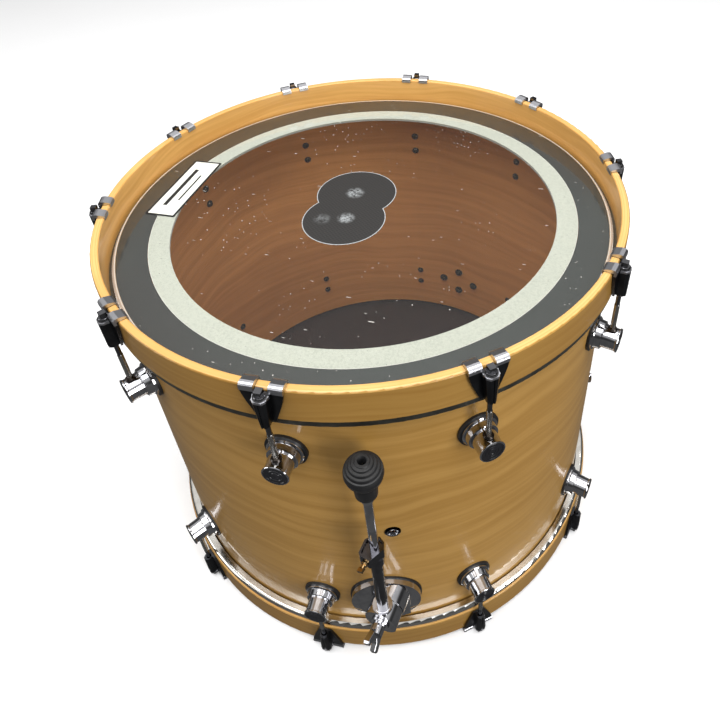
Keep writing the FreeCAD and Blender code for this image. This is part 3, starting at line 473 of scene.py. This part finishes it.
@dataclass(frozen=True)
class SleevedRubber(MouldedPolymer):
    """Moulded rubber on a bright metal sleeve, which shows below the rubber."""

    sleeve: str = "#C6C6C9"
    sleeve_below_mm: float = 355.5

    def write(self, tree: Tree, shader: Node, output: Node, where: Socket) -> None:
        """Writes the rubber, and plated metal below it.

        Args:
            tree: The material's node tree.
            shader: Its Principled shader.
            output: Its output, already fed by the shader.
            where: The point on the piece, in metres.
        """
        super().write(tree, shader, output, where)
        rubber = shader.inputs["Base Color"].links[0].from_socket
        dull = shader.inputs["Roughness"].links[0].from_socket
        height = add_node(tree, "ShaderNodeSeparateXYZ", links={0: where}).outputs[2]
        metal = ramp_between(
            tree, height, self.sleeve_below_mm * MM + 0.0001, self.sleeve_below_mm * MM - 0.0001
        )
        colour = add_node(
            tree, "ShaderNodeMix", {"data_type": "RGBA", 7: linear_colour(self.sleeve)}, {0: metal, 6: rubber}
        )
        gloss = add_node(tree, "ShaderNodeMix", {3: 0.1}, {0: metal, 2: dull})
        tree.links.new(colour.outputs[2], shader.inputs["Base Color"])
        tree.links.new(gloss.outputs[0], shader.inputs["Roughness"])
        tree.links.new(metal.outputs[0], shader.inputs["Metallic"])


@dataclass(frozen=True)
class EyeletPlate(PlatedMetal):
    """A plated eyelet: a black outer flange round a bright tube."""

    turn_deg: float = 288.0
    flange: str = "#101011"
    flange_from_mm: float = 6.1

    def write(self, tree: Tree, shader: Node, output: Node, where: Socket) -> None:
        """Writes bright plating near the eyelet's own axis and black enamel beyond it.

        Args:
            tree: The material's node tree.
            shader: Its Principled shader.
            output: Its output, already fed by the shader.
            where: The point on the piece, in metres.
        """
        super().write(tree, shader, output, where)
        plate = shader.inputs["Base Color"].links[0].from_socket
        turned = add_node(
            tree, "ShaderNodeMapping", {"Rotation": (0, 0, -math.radians(self.turn_deg))}, {"Vector": where}
        )
        parts = add_node(tree, "ShaderNodeSeparateXYZ", links={0: turned})
        height = add_node(
            tree, "ShaderNodeMath", {"operation": "SUBTRACT", 1: MID_HEIGHT}, {0: parts.outputs[2]}
        )
        flat = add_node(tree, "ShaderNodeCombineXYZ", links={1: parts.outputs[1], 2: height})
        away = add_node(tree, "ShaderNodeVectorMath", {"operation": "LENGTH"}, {0: flat}).outputs["Value"]
        black = ramp_between(
            tree, away, self.flange_from_mm * MM - 0.0003, self.flange_from_mm * MM + 0.0003
        )
        colour = add_node(
            tree, "ShaderNodeMix", {"data_type": "RGBA", 7: linear_colour(self.flange)}, {0: black, 6: plate}
        )
        tree.links.new(colour.outputs[2], shader.inputs["Base Color"])


@dataclass(frozen=True)
class ClearPolyesterFilm(Finish):
    """Clear drawn polyester: gloss at a glance, with dust, scratches and a milky collar."""

    collar_from_mm: float = 275.6
    crimp_from_mm: float = 279.0
    crimp_count: int = 380

    def write(self, tree: Tree, shader: Node, output: Node, where: Socket) -> None:
        """Writes a clear film that mirrors more at a low angle, and what marks it.

        Args:
            tree: The material's node tree.
            shader: Its Principled shader.
            output: Its output, already fed by the shader.
            where: The point on the piece, in metres.
        """
        facing = add_node(tree, "ShaderNodeLayerWeight", {"Blend": 0.5}).outputs["Facing"]
        grazing = add_node(tree, "ShaderNodeMath", {"operation": "POWER", 1: 5.0}, {0: facing})
        mirror = add_node(
            tree, "ShaderNodeMath", {"operation": "MULTIPLY_ADD", 1: 0.9, 2: 0.035}, {0: grazing}
        )
        cells = add_node(tree, "ShaderNodeTexVoronoi", {"Scale": 190.0}, {"Vector": where})
        dots = ramp_between(tree, cells.outputs["Distance"], 0.17, 0.08)
        chance = add_node(tree, "ShaderNodeSeparateColor", links={0: cells.outputs["Color"]})
        rare = ramp_between(tree, chance, 0.72, 0.8)
        patches = add_node(tree, "ShaderNodeTexNoise", {"Scale": 9.0, "Detail": 3.0}, {"Vector": where})
        dusty = ramp_between(tree, patches, 0.42, 0.66)
        specks = add_node(tree, "ShaderNodeMath", {"operation": "MULTIPLY"}, {0: dots, 1: rare})
        settled = add_node(tree, "ShaderNodeMath", {"operation": "MULTIPLY"}, {0: specks, 1: dusty})
        scratch_space = add_node(
            tree,
            "ShaderNodeMapping",
            {"Rotation": (0, 0, 0.9), "Scale": (70.0, 620.0, 1.0)},
            {"Vector": where},
        )
        strokes = add_node(tree, "ShaderNodeTexNoise", {"Scale": 1.0, "Detail": 1.0}, {"Vector": scratch_space})
        scratches = ramp_between(tree, strokes, 0.79, 0.83)
        marks = add_node(tree, "ShaderNodeMath", {"operation": "MAXIMUM"}, {0: settled, 1: scratches})
        faint = add_node(tree, "ShaderNodeMath", {"operation": "MULTIPLY", 1: 0.55}, {0: marks})
        radius = distance_from_axis(tree, where)
        collar = ramp_between(tree, radius, self.collar_from_mm * MM - 0.0005, self.collar_from_mm * MM + 0.0005)
        milky = add_node(tree, "ShaderNodeMath", {"operation": "MULTIPLY", 1: 0.42}, {0: collar})
        parts = add_node(tree, "ShaderNodeSeparateXYZ", links={0: where})
        turn = add_node(
            tree, "ShaderNodeMath", {"operation": "ARCTAN2"}, {0: parts.outputs[1], 1: parts.outputs[0]}
        )
        beat = add_node(
            tree, "ShaderNodeMath", {"operation": "MULTIPLY", 1: float(self.crimp_count)}, {0: turn}
        )
        wave = add_node(tree, "ShaderNodeMath", {"operation": "SINE"}, {0: beat})
        crimp_dots = ramp_between(tree, wave, 0.0, 0.5)
        rim = ramp_between(tree, radius, self.crimp_from_mm * MM, self.crimp_from_mm * MM + 0.0004)
        crimp = add_node(tree, "ShaderNodeMath", {"operation": "MULTIPLY"}, {0: crimp_dots, 1: rim})
        haze = add_node(tree, "ShaderNodeMath", {"operation": "MAXIMUM"}, {0: faint, 1: milky})
        body = add_node(tree, "ShaderNodeMath", {"operation": "MAXIMUM"}, {0: haze, 1: crimp})
        share = add_node(tree, "ShaderNodeMath", {"operation": "MAXIMUM"}, {0: mirror, 1: body})
        polished = ramp_between(tree, body, 0.05, 0.0)
        colour = add_node(
            tree,
            "ShaderNodeMix",
            {"data_type": "RGBA", 6: linear_colour("#F2EFE8"), 7: linear_colour("#4A2C14")},
            {0: crimp},
        )
        tree.links.new(colour.outputs[2], shader.inputs["Base Color"])
        tree.links.new(polished.outputs[0], shader.inputs["Metallic"])
        shader.inputs["Roughness"].default_value = 0.07
        clear = add_node(tree, "ShaderNodeBsdfTransparent", {"Color": (0.985, 0.985, 0.98, 1.0)})
        film = add_node(tree, "ShaderNodeMixShader", links={0: share, 1: clear, 2: shader})
        tree.links.new(film.outputs[0], output.inputs["Surface"])


@dataclass(frozen=True)
class OpaqueFilm(Finish):
    """Printed or dyed polyester: a deep even colour with slow changes in its gloss."""

    tint: str
    drifted: str
    rough: float = 0.3

    def write(self, tree: Tree, shader: Node, output: Node, where: Socket) -> None:
        """Writes a film whose tone and gloss change slowly over its width.

        Args:
            tree: The material's node tree.
            shader: Its Principled shader.
            output: Its output, already fed by the shader.
            where: The point on the piece, in metres.
        """
        slow = add_node(tree, "ShaderNodeTexNoise", {"Scale": 4.0, "Detail": 2.0}, {"Vector": where})
        colour = add_node(
            tree,
            "ShaderNodeMix",
            {"data_type": "RGBA", 6: linear_colour(self.tint), 7: linear_colour(self.drifted)},
            {0: ramp_between(tree, slow, 0.35, 0.7)},
        )
        tree.links.new(colour.outputs[2], shader.inputs["Base Color"])
        gloss = add_node(
            tree, "ShaderNodeMath", {"operation": "MULTIPLY_ADD", 1: 0.12, 2: self.rough - 0.06}, {0: slow}
        )
        tree.links.new(gloss.outputs[0], shader.inputs["Roughness"])


@dataclass(frozen=True)
class NeedledFelt(Finish):
    """Needled white felt: a soft nap with loose fibres, and a crisp cut at its outer edge."""

    tint: str
    hollow: str
    edge: str
    edge_from_mm: float
    fibre_mm: float = 2.2  # single fibres are far finer, drawn as tufts so that they show

    def write(self, tree: Tree, shader: Node, output: Node, where: Socket) -> None:
        """Writes tufts, their shadows, and the bright cut edge.

        Args:
            tree: The material's node tree.
            shader: Its Principled shader.
            output: Its output, already fed by the shader.
            where: The point on the piece, in metres.
        """
        tufts = add_node(
            tree,
            "ShaderNodeTexNoise",
            {"Scale": 1000 / self.fibre_mm, "Detail": 5.0, "Roughness": 0.7},
            {"Vector": where},
        )
        nap = add_node(
            tree,
            "ShaderNodeMix",
            {"data_type": "RGBA", 6: linear_colour(self.hollow), 7: linear_colour(self.tint)},
            {0: ramp_between(tree, tufts, 0.25, 0.6)},
        )
        cut = ramp_between(
            tree, distance_from_axis(tree, where), self.edge_from_mm * MM, self.edge_from_mm * MM + 0.0006
        )
        colour = add_node(
            tree,
            "ShaderNodeMix",
            {"data_type": "RGBA", 7: linear_colour(self.edge)},
            {0: cut, 6: nap.outputs[2]},
        )
        tree.links.new(colour.outputs[2], shader.inputs["Base Color"])
        bump = add_node(tree, "ShaderNodeBump", {"Strength": 0.5, "Distance": 0.0006}, {"Height": tufts})
        tree.links.new(bump.outputs[0], shader.inputs["Normal"])
        shader.inputs["Roughness"].default_value = 0.95
        shader.inputs["Sheen Weight"].default_value = 0.3


@dataclass(frozen=True)
class CoatedWeave(Finish):
    """Woven aramid under a thin coat: dark threads, chalky where beaters have struck."""

    tint: str
    thread: str
    chalk: str
    disc_centres_mm: tuple[tuple[float, float], ...]
    disc_mm: float
    marks_mm: tuple[tuple[float, float, float, float], ...]
    thread_mm: float = 2.4  # the real threads are half this, drawn coarser so that they show

    def write(self, tree: Tree, shader: Node, output: Node, where: Socket) -> None:
        """Writes the weave, the struck marks and the pale cut edge.

        Args:
            tree: The material's node tree.
            shader: Its Principled shader.
            output: Its output, already fed by the shader.
            where: The point on the piece, in metres.
        """
        weave = add_node(
            tree,
            "ShaderNodeTexChecker",
            {"Scale": 1000 / self.thread_mm, 1: linear_colour(self.tint), 2: linear_colour(self.thread)},
            {"Vector": where},
        )
        colour = weave.outputs["Color"]
        scuffs = add_node(
            tree, "ShaderNodeTexNoise", {"Scale": 190.0, "Detail": 5.0, "Roughness": 0.7}, {"Vector": where}
        )
        rubbed = ramp_between(tree, scuffs, 0.38, 0.62)
        for across, along, wide, strength in self.marks_mm:
            away = add_node(
                tree,
                "ShaderNodeVectorMath",
                {"operation": "DISTANCE", 1: (across * MM, along * MM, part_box("kick_patch")[1].z)},
                {0: where},
            )
            spot = ramp_between(tree, away.outputs["Value"], wide * MM, wide * MM * 0.35)
            dusted = add_node(tree, "ShaderNodeMath", {"operation": "MULTIPLY"}, {0: spot, 1: rubbed})
            amount = add_node(tree, "ShaderNodeMath", {"operation": "MULTIPLY", 1: strength}, {0: dusted})
            colour = add_node(
                tree,
                "ShaderNodeMix",
                {"data_type": "RGBA", 7: linear_colour(self.chalk)},
                {0: amount, 6: colour},
            ).outputs[2]
        nearest: Any = None
        for across, along in self.disc_centres_mm:
            away = add_node(
                tree,
                "ShaderNodeVectorMath",
                {"operation": "DISTANCE", 1: (across * MM, along * MM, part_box("kick_patch")[1].z)},
                {0: where},
            ).outputs["Value"]
            nearest = (
                away
                if nearest is None
                else add_node(tree, "ShaderNodeMath", {"operation": "MINIMUM"}, {0: nearest, 1: away})
            )
        rim = ramp_between(tree, nearest, self.disc_mm * MM - 0.0012, self.disc_mm * MM - 0.0006)
        edged = add_node(
            tree,
            "ShaderNodeMix",
            {"data_type": "RGBA", 7: linear_colour(self.chalk)},
            {0: rim, 6: colour},
        )
        tree.links.new(edged.outputs[2], shader.inputs["Base Color"])
        bump = add_node(
            tree, "ShaderNodeBump", {"Strength": 0.35, "Distance": 0.0003}, {"Height": weave.outputs["Fac"]}
        )
        tree.links.new(bump.outputs[0], shader.inputs["Normal"])
        shader.inputs["Roughness"].default_value = 0.62


@dataclass(frozen=True)
class PrintedPanel(Finish):
    """Printed vinyl: a white field in a dark border, with two plain bars and no lettering."""

    wide_mm: float
    long_mm: float
    centre_mm: tuple[float, float]
    turn: float
    paper: str = "#EDEFE6"
    ink: str = "#16181A"

    def write(self, tree: Tree, shader: Node, output: Node, where: Socket) -> None:
        """Writes the border and the bars by distance from the panel's middle.

        Args:
            tree: The material's node tree.
            shader: Its Principled shader.
            output: Its output, already fed by the shader.
            where: The point on the piece, in metres.
        """
        local = add_node(
            tree,
            "ShaderNodeMapping",
            {
                "vector_type": "TEXTURE",
                "Location": (self.centre_mm[0] * MM, self.centre_mm[1] * MM, 0),
                "Rotation": (0, 0, self.turn),
            },
            {"Vector": where},
        )
        parts = add_node(tree, "ShaderNodeSeparateXYZ", links={0: local})
        across = add_node(tree, "ShaderNodeMath", {"operation": "ABSOLUTE"}, {0: parts.outputs[0]})
        along = add_node(tree, "ShaderNodeMath", {"operation": "ABSOLUTE"}, {0: parts.outputs[1]})
        side = ramp_between(tree, across, self.wide_mm / 2 * MM - 0.0030, self.wide_mm / 2 * MM - 0.0024)
        end = ramp_between(tree, along, self.long_mm / 2 * MM - 0.0030, self.long_mm / 2 * MM - 0.0024)
        ink = add_node(tree, "ShaderNodeMath", {"operation": "MAXIMUM"}, {0: side, 1: end})
        for offset_mm, half_mm, reach_mm in ((-5.0, 2.6, 40.0), (6.5, 1.2, 28.0)):
            shifted = add_node(
                tree, "ShaderNodeMath", {"operation": "SUBTRACT", 1: offset_mm * MM}, {0: parts.outputs[0]}
            )
            size = add_node(tree, "ShaderNodeMath", {"operation": "ABSOLUTE"}, {0: shifted})
            thick = ramp_between(tree, size, half_mm * MM + 0.0003, half_mm * MM - 0.0003)
            reach = ramp_between(tree, along, reach_mm * MM + 0.0003, reach_mm * MM - 0.0003)
            bar = add_node(tree, "ShaderNodeMath", {"operation": "MULTIPLY"}, {0: thick, 1: reach})
            ink = add_node(tree, "ShaderNodeMath", {"operation": "MAXIMUM"}, {0: ink, 1: bar})
        wear = add_node(tree, "ShaderNodeTexNoise", {"Scale": 120.0, "Detail": 3.0}, {"Vector": where})
        paper = add_node(
            tree,
            "ShaderNodeMix",
            {"data_type": "RGBA", 6: linear_colour("#DDE0D4"), 7: linear_colour(self.paper)},
            {0: ramp_between(tree, wear, 0.3, 0.6)},
        )
        colour = add_node(
            tree,
            "ShaderNodeMix",
            {"data_type": "RGBA", 7: linear_colour(self.ink)},
            {0: ink, 6: paper.outputs[2]},
        )
        tree.links.new(colour.outputs[2], shader.inputs["Base Color"])
        shader.inputs["Roughness"].default_value = 0.35


@dataclass(frozen=True)
class MattePaint(Finish):
    """Matte studio paint: a pale floor with barely visible roller marks."""

    tint: str
    marked: str

    def write(self, tree: Tree, shader: Node, output: Node, where: Socket) -> None:
        """Writes the paint's slow tone changes.

        Args:
            tree: The material's node tree.
            shader: Its Principled shader.
            output: Its output, already fed by the shader.
            where: The point on the piece, in metres.
        """
        slow = add_node(tree, "ShaderNodeTexNoise", {"Scale": 3.0, "Detail": 2.0}, {"Vector": where})
        colour = add_node(
            tree,
            "ShaderNodeMix",
            {"data_type": "RGBA", 6: linear_colour(self.marked), 7: linear_colour(self.tint)},
            {0: slow},
        )
        tree.links.new(colour.outputs[2], shader.inputs["Base Color"])
        shader.inputs["Roughness"].default_value = 0.9


# Shell veneer: golden where light meets it, browner in its streaks, bare and duller inside.
SHELL_MAPLE = LacqueredMaple(
    "maple veneer, clear lacquered",
    pale="#DFB271",
    deep="#CB9E5C",
    bare="#FFE0C0",
    bare_inside_mm=273.5,
    stain="#DAD3B5",
    stain_from_mm=277.6,
)
# Bent plies: more golden than the shell, with glue lines where the top edge cuts them.
HOOP_MAPLE = LacqueredMaple(
    "maple plies, bent and lacquered",
    pale="#E3B56F",
    deep="#D2A25C",
    bare="#FFF6E6",
    bare_inside_mm=284.6,
    stain="#C3BC9F",
    stain_from_mm=290.9,
    streak_mm=6.0,
    ring_mm=26.0,
    ply_lines_mm=(286.2, 289.2),
)
# Bright chrome: reads as black and white streaks of the room.
CHROME = PlatedMetal("zinc die casting, chrome plated", tint="#C6C6C9", shade="#B2B2B6", rough=0.05)
DARK_CHROME = PlatedMetal("steel tube, black chrome plated", tint="#606065", shade="#515156", rough=0.1)
DARK_STEEL = PlatedMetal("steel screw, dark zinc plated", tint="#4C4744", shade="#37322F", rough=0.25)
SATIN_ALUMINIUM = PlatedMetal(
    "aluminium hoop, satin anodised", tint="#7A7970", shade="#6B6A62", rough=0.34, smear=0.1
)
POLISHED_STEEL = PlatedMetal("steel hoop, polished and plated", tint="#EAE7E0", shade="#DAD6CE", rough=0.12)
BRASS = PlatedMetal("brass screw, polished", tint="#C9AE84", shade="#AD8F63", rough=0.12)
CLAW_PLATE = HookedClawPlate("zinc claw, black nickel plated", tint="#46474A", shade="#393A3D", rough=0.26)
ROD_PLATE = ThreadedRodPlate("steel rod, rolled and plated", tint="#77777A", shade="#68686B", rough=0.12)
BLACK_RUBBER = MouldedPolymer("rubber, moulded black", tint="#161617", worn="#232324", rough=0.5)
FOOT_RUBBER = SleevedRubber("rubber, moulded on a plated sleeve", tint="#161617", worn="#232324", rough=0.5)
EYELET = EyeletPlate("steel eyelet, enamelled and plated", tint="#C6C6C9", shade="#B2B2B6", rough=0.08)
BLACK_NYLON = MouldedPolymer("nylon, moulded black", tint="#131314", worn="#1C1C1D", rough=0.4)
DARK_CAP = MouldedPolymer("ABS cap, moulded dark", tint="#1A1A1D", worn="#252529", rough=0.22, grain_depth=0.08)
CLEAR_FILM = ClearPolyesterFilm("polyester film, drawn clear")
BLACK_FILM = OpaqueFilm("polyester film, dyed black", tint="#242026", drifted="#2F2930", rough=0.22)
RING_FILM = OpaqueFilm("polyester ring, printed grey", tint="#353A39", drifted="#2E2F2E", rough=0.36)
FELT = NeedledFelt(
    "felt ring, needled white", tint="#B9BDB1", hollow="#A4A89D", edge="#D2D3CC", edge_from_mm=241.4
)
PATCH = CoatedWeave(
    "aramid patch, woven and coated",
    tint="#1D1B1A",
    thread="#272523",
    chalk="#A9ADAE",
    disc_centres_mm=((-17.0, 26.4), (-17.0, -26.4)),
    disc_mm=47.5,
    marks_mm=((-19.0, 26.2, 13.0, 0.8), (-14.9, -24.5, 12.0, 0.85), (-41.6, -30.7, 12.0, 0.25)),
)


def dress(nodes: Sequence[str], finish: Finish) -> None:
    """Gives CAD nodes a finish in place of the one they were packed with.

    Args:
        nodes: The names of the nodes.
        finish: The finish that they get.
    """
    for name in nodes:
        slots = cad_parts[name].data.materials
        slots.clear()
        slots.append(finish.material())


@dataclass
class Shell:
    """The wooden shell with its air vent."""

    def dress(self) -> None:
        """Dresses the shell and the vent's eyelet."""
        dress(["shell"], SHELL_MAPLE)
        dress(["vent_eyelet"], EYELET)
        LOG.info("shell and vent dressed")


@dataclass
class Hoops:
    """The two wooden hoops and the metal flesh hoops that they press on."""

    def dress(self) -> None:
        """Dresses the four hoops."""
        dress(["batter_hoop", "resonant_hoop"], HOOP_MAPLE)
        dress(["batter_flesh_hoop"], SATIN_ALUMINIUM)
        dress(["resonant_flesh_hoop"], POLISHED_STEEL)
        LOG.info("hoops dressed")


@dataclass
class BatterHead:
    """The clear head with its rings and patch, and the panel stuck across its rings."""

    panel_wide_mm: float = 38.0
    panel_long_mm: float = 121.0
    panel_thick_mm: float = 0.12
    panel_centre_mm: tuple[float, float] = (-232.4, 6.4)
    corner_mm: float = 1.5

    def build(self) -> None:
        """Builds the printed panel on top of the film."""
        turn = math.atan2(self.panel_centre_mm[1], self.panel_centre_mm[0]) - math.pi
        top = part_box("batter_head_film")[1].z
        shape = bmesh.new()
        bmesh.ops.create_cube(
            shape,
            size=1.0,
            matrix=Matrix.Translation((0, 0, self.panel_thick_mm / 2 * MM))
            @ Matrix.Diagonal((self.panel_wide_mm * MM, self.panel_long_mm * MM, self.panel_thick_mm * MM, 1)),
        )
        upright = [e for e in shape.edges if abs(e.verts[0].co.z - e.verts[1].co.z) > 1e-5]
        bmesh.ops.bevel(
            shape, geom=upright, offset=self.corner_mm * MM, segments=4, affect="EDGES", profile=0.5
        )
        place = Matrix.Translation(
            (self.panel_centre_mm[0] * MM, self.panel_centre_mm[1] * MM, top + 0.00004)
        ) @ Matrix.Rotation(turn, 4, "Z")
        shape.transform(place)
        mesh = bpy.data.meshes.new("badge_panel")
        shape.to_mesh(mesh)
        shape.free()
        panel = bpy.data.objects.new("badge_panel", mesh)
        bpy.context.scene.collection.objects.link(panel)
        finish = PrintedPanel(
            "vinyl panel, printed",
            wide_mm=self.panel_wide_mm,
            long_mm=self.panel_long_mm,
            centre_mm=self.panel_centre_mm,
            turn=turn,
        )
        mesh.materials.append(finish.material())
        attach(panel, "root")
        LOG.info("badge panel built")

    def dress(self) -> None:
        """Dresses the film, its rings and the patch."""
        dress(["batter_head_film"], CLEAR_FILM)
        dress(["head_edge_ring"], RING_FILM)
        dress(["muffle_ring"], FELT)
        dress(["kick_patch"], PATCH)
        LOG.info("%s head dressed", Skin.BATTER.value)


@dataclass
class ResonantHead:
    """The black head that the drum stands over."""

    def dress(self) -> None:
        """Dresses the film."""
        dress(["resonant_head_film"], BLACK_FILM)
        LOG.info("%s head dressed", Skin.RESONANT.value)


@dataclass
class TensionHardware:
    """Claws, rods and lugs of both heads."""

    rods_a_side: int = 10

    def dress(self) -> None:
        """Dresses the claws, the rods, the lugs and their small parts."""
        dress(["batter_claws", "resonant_claws"], CLAW_PLATE)
        dress(["claw_pads", "lug_gaskets"], BLACK_RUBBER)
        dress(["rod_washers"], BLACK_NYLON)
        for skin in Skin:
            names = [f"{skin.value}_rod_{place:02d}" for place in range(1, self.rods_a_side + 1)]
            dress(names, ROD_PLATE)
        dress(["lug_castings"], CHROME)
        dress(["lug_caps"], DARK_CAP)
        dress(["lug_inserts", "lug_screws", "lug_screw_washers"], DARK_STEEL)
        LOG.info("claws, rods and lugs dressed")


@dataclass
class Spur:
    """One folding spur."""

    side: Side

    def dress(self) -> None:
        """Dresses the spur's nodes."""
        start = f"{self.side.value}_spur_"
        dress([start + "base", start + "knuckle", start + "pivot_bolt", start + "leg_rod"], CHROME)
        dress([start + "leg_tube", start + "clamp_collar"], DARK_CHROME)
        dress([start + "clamp_screw"], BRASS)
        dress([start + "foot"], FOOT_RUBBER)
        LOG.info("%s spur dressed", self.side.value)


@dataclass
class SpurMounts:
    """What both spurs share: the gaskets under their plates and the bolts inside the shell."""

    def dress(self) -> None:
        """Dresses the gaskets and the bolts."""
        dress(["spur_gaskets"], BLACK_RUBBER)
        dress(["spur_mount_bolts"], DARK_STEEL)
        LOG.info("spur mounts dressed")


@dataclass
class Studio:
    """The pale floor, the soft lights and the camera."""

    floor_half: float = 6.0
    camera_at: tuple[float, float, float] = (0.2042, -0.5948, 0.8806)
    azimuth_deg: float = 14.08
    down_deg: float = 36.25
    roll_deg: float = -2.91
    lens_mm: float = 32.92
    shift: tuple[float, float] = (-0.0709, -0.1962)

    def build(self) -> None:
        """Builds the floor, the lights and the camera."""
        self.lay_floor()
        self.light_world()
        self.hang_light(
            "overhead_softbox", place=(0.1, -0.3, 2.9), aim=(0, 0, 0.3), wide=3.0, tall=2.8, watts=104.0
        )
        self.hang_light(
            "left_softbox", place=(-2.1, -1.1, 0.9), aim=(0, 0, 0.2), wide=1.0, tall=1.6, watts=15.0
        )
        self.hang_light(
            "right_softbox", place=(2.1, -1.5, 0.9), aim=(0, 0, 0.2), wide=1.0, tall=1.6, watts=38.0
        )
        self.set_camera()
        LOG.info("studio built")

    def lay_floor(self) -> None:
        """Lays a gently divided floor under the drum."""
        shape = bmesh.new()
        bmesh.ops.create_grid(shape, x_segments=12, y_segments=12, size=self.floor_half)
        mesh = bpy.data.meshes.new("studio_floor")
        shape.to_mesh(mesh)
        shape.free()
        floor = bpy.data.objects.new("studio_floor", mesh)
        bpy.context.scene.collection.objects.link(floor)
        mesh.materials.append(MattePaint("matte studio paint", tint="#FAFAFA", marked="#F7F7F7").material())
        # The white floor is out of the mirrors and bounces nothing, as if the drum were cut out on white.
        floor.visible_glossy = False
        floor.visible_diffuse = False

    def light_world(self) -> None:
        """Lights the room evenly from above, with a dim horizon that chrome can mirror."""
        world = bpy.data.worlds.new("studio_room")
        world.use_nodes = True
        tree = world.node_tree
        tree.nodes.clear()
        toward = add_node(tree, "ShaderNodeTexCoord").outputs["Generated"]
        parts = add_node(tree, "ShaderNodeSeparateXYZ", links={0: toward})
        ramp = add_node(tree, "ShaderNodeValToRGB", links={0: parts.outputs[2]})
        stops = ((0.0, 0.12), (0.2, 0.05), (0.42, 0.08), (0.6, 0.7), (1.0, 1.0))
        elements = ramp.color_ramp.elements
        for index, (place, value) in enumerate(stops):
            element = elements[index] if index < len(elements) else elements.new(place)
            element.position = place
            element.color = (value, value, value, 1.0)
        back = add_node(tree, "ShaderNodeBackground", {"Strength": 0.9}, {"Color": ramp})
        add_node(tree, "ShaderNodeOutputWorld", links={"Surface": back})
        bpy.context.scene.world = world

    def hang_light(
        self,
        name: str,
        place: tuple[float, float, float],
        aim: tuple[float, float, float],
        wide: float,
        tall: float,
        watts: float,
    ) -> None:
        """Hangs one softbox.

        Args:
            name: The light's name.
            place: Where it hangs.
            aim: What it points at.
            wide: Its width.
            tall: Its height.
            watts: Its power.
        """
        lamp = bpy.data.lights.new(name, "AREA")
        lamp.shape = "RECTANGLE"
        lamp.size, lamp.size_y, lamp.energy = wide, tall, watts
        light = bpy.data.objects.new(name, lamp)
        light.location = place
        light.rotation_mode = "QUATERNION"
        light.rotation_quaternion = (Vector(aim) - Vector(place)).to_track_quat("-Z", "Y")
        bpy.context.scene.collection.objects.link(light)

    def set_camera(self) -> None:
        """Sets the camera above the drum's front, looking down into it."""
        turn, down, roll = (math.radians(a) for a in (self.azimuth_deg, self.down_deg, self.roll_deg))
        right = Vector((math.cos(turn), math.sin(turn), 0))
        up = Vector((-math.sin(turn) * math.sin(down), math.cos(turn) * math.sin(down), math.cos(down)))
        ahead = Vector((-math.sin(turn) * math.cos(down), math.cos(turn) * math.cos(down), -math.sin(down)))
        rolled_right = math.cos(roll) * right + math.sin(roll) * up
        rolled_up = math.cos(roll) * up - math.sin(roll) * right
        axes = Matrix((rolled_right, rolled_up, -ahead)).transposed().to_4x4()
        lens = bpy.data.cameras.new("studio_camera")
        lens.lens, lens.sensor_width = self.lens_mm, 36.0
        lens.shift_x, lens.shift_y = self.shift
        camera = bpy.data.objects.new("studio_camera", lens)
        camera.matrix_world = Matrix.Translation(self.camera_at) @ axes
        bpy.context.scene.collection.objects.link(camera)
        bpy.context.scene.camera = camera
        bpy.context.scene.view_settings.view_transform = "Standard"


def main() -> None:
    """Builds and dresses the drum."""
    logging.basicConfig(level=logging.INFO, format="%(name)s: %(message)s")
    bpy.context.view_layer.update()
    studio = Studio()
    studio.build()
    head = BatterHead()
    head.build()
    head.dress()
    Shell().dress()
    Hoops().dress()
    ResonantHead().dress()
    TensionHardware().dress()
    SpurMounts().dress()
    for side in Side:
        Spur(side).dress()


if __name__ == "__main__":
    main()
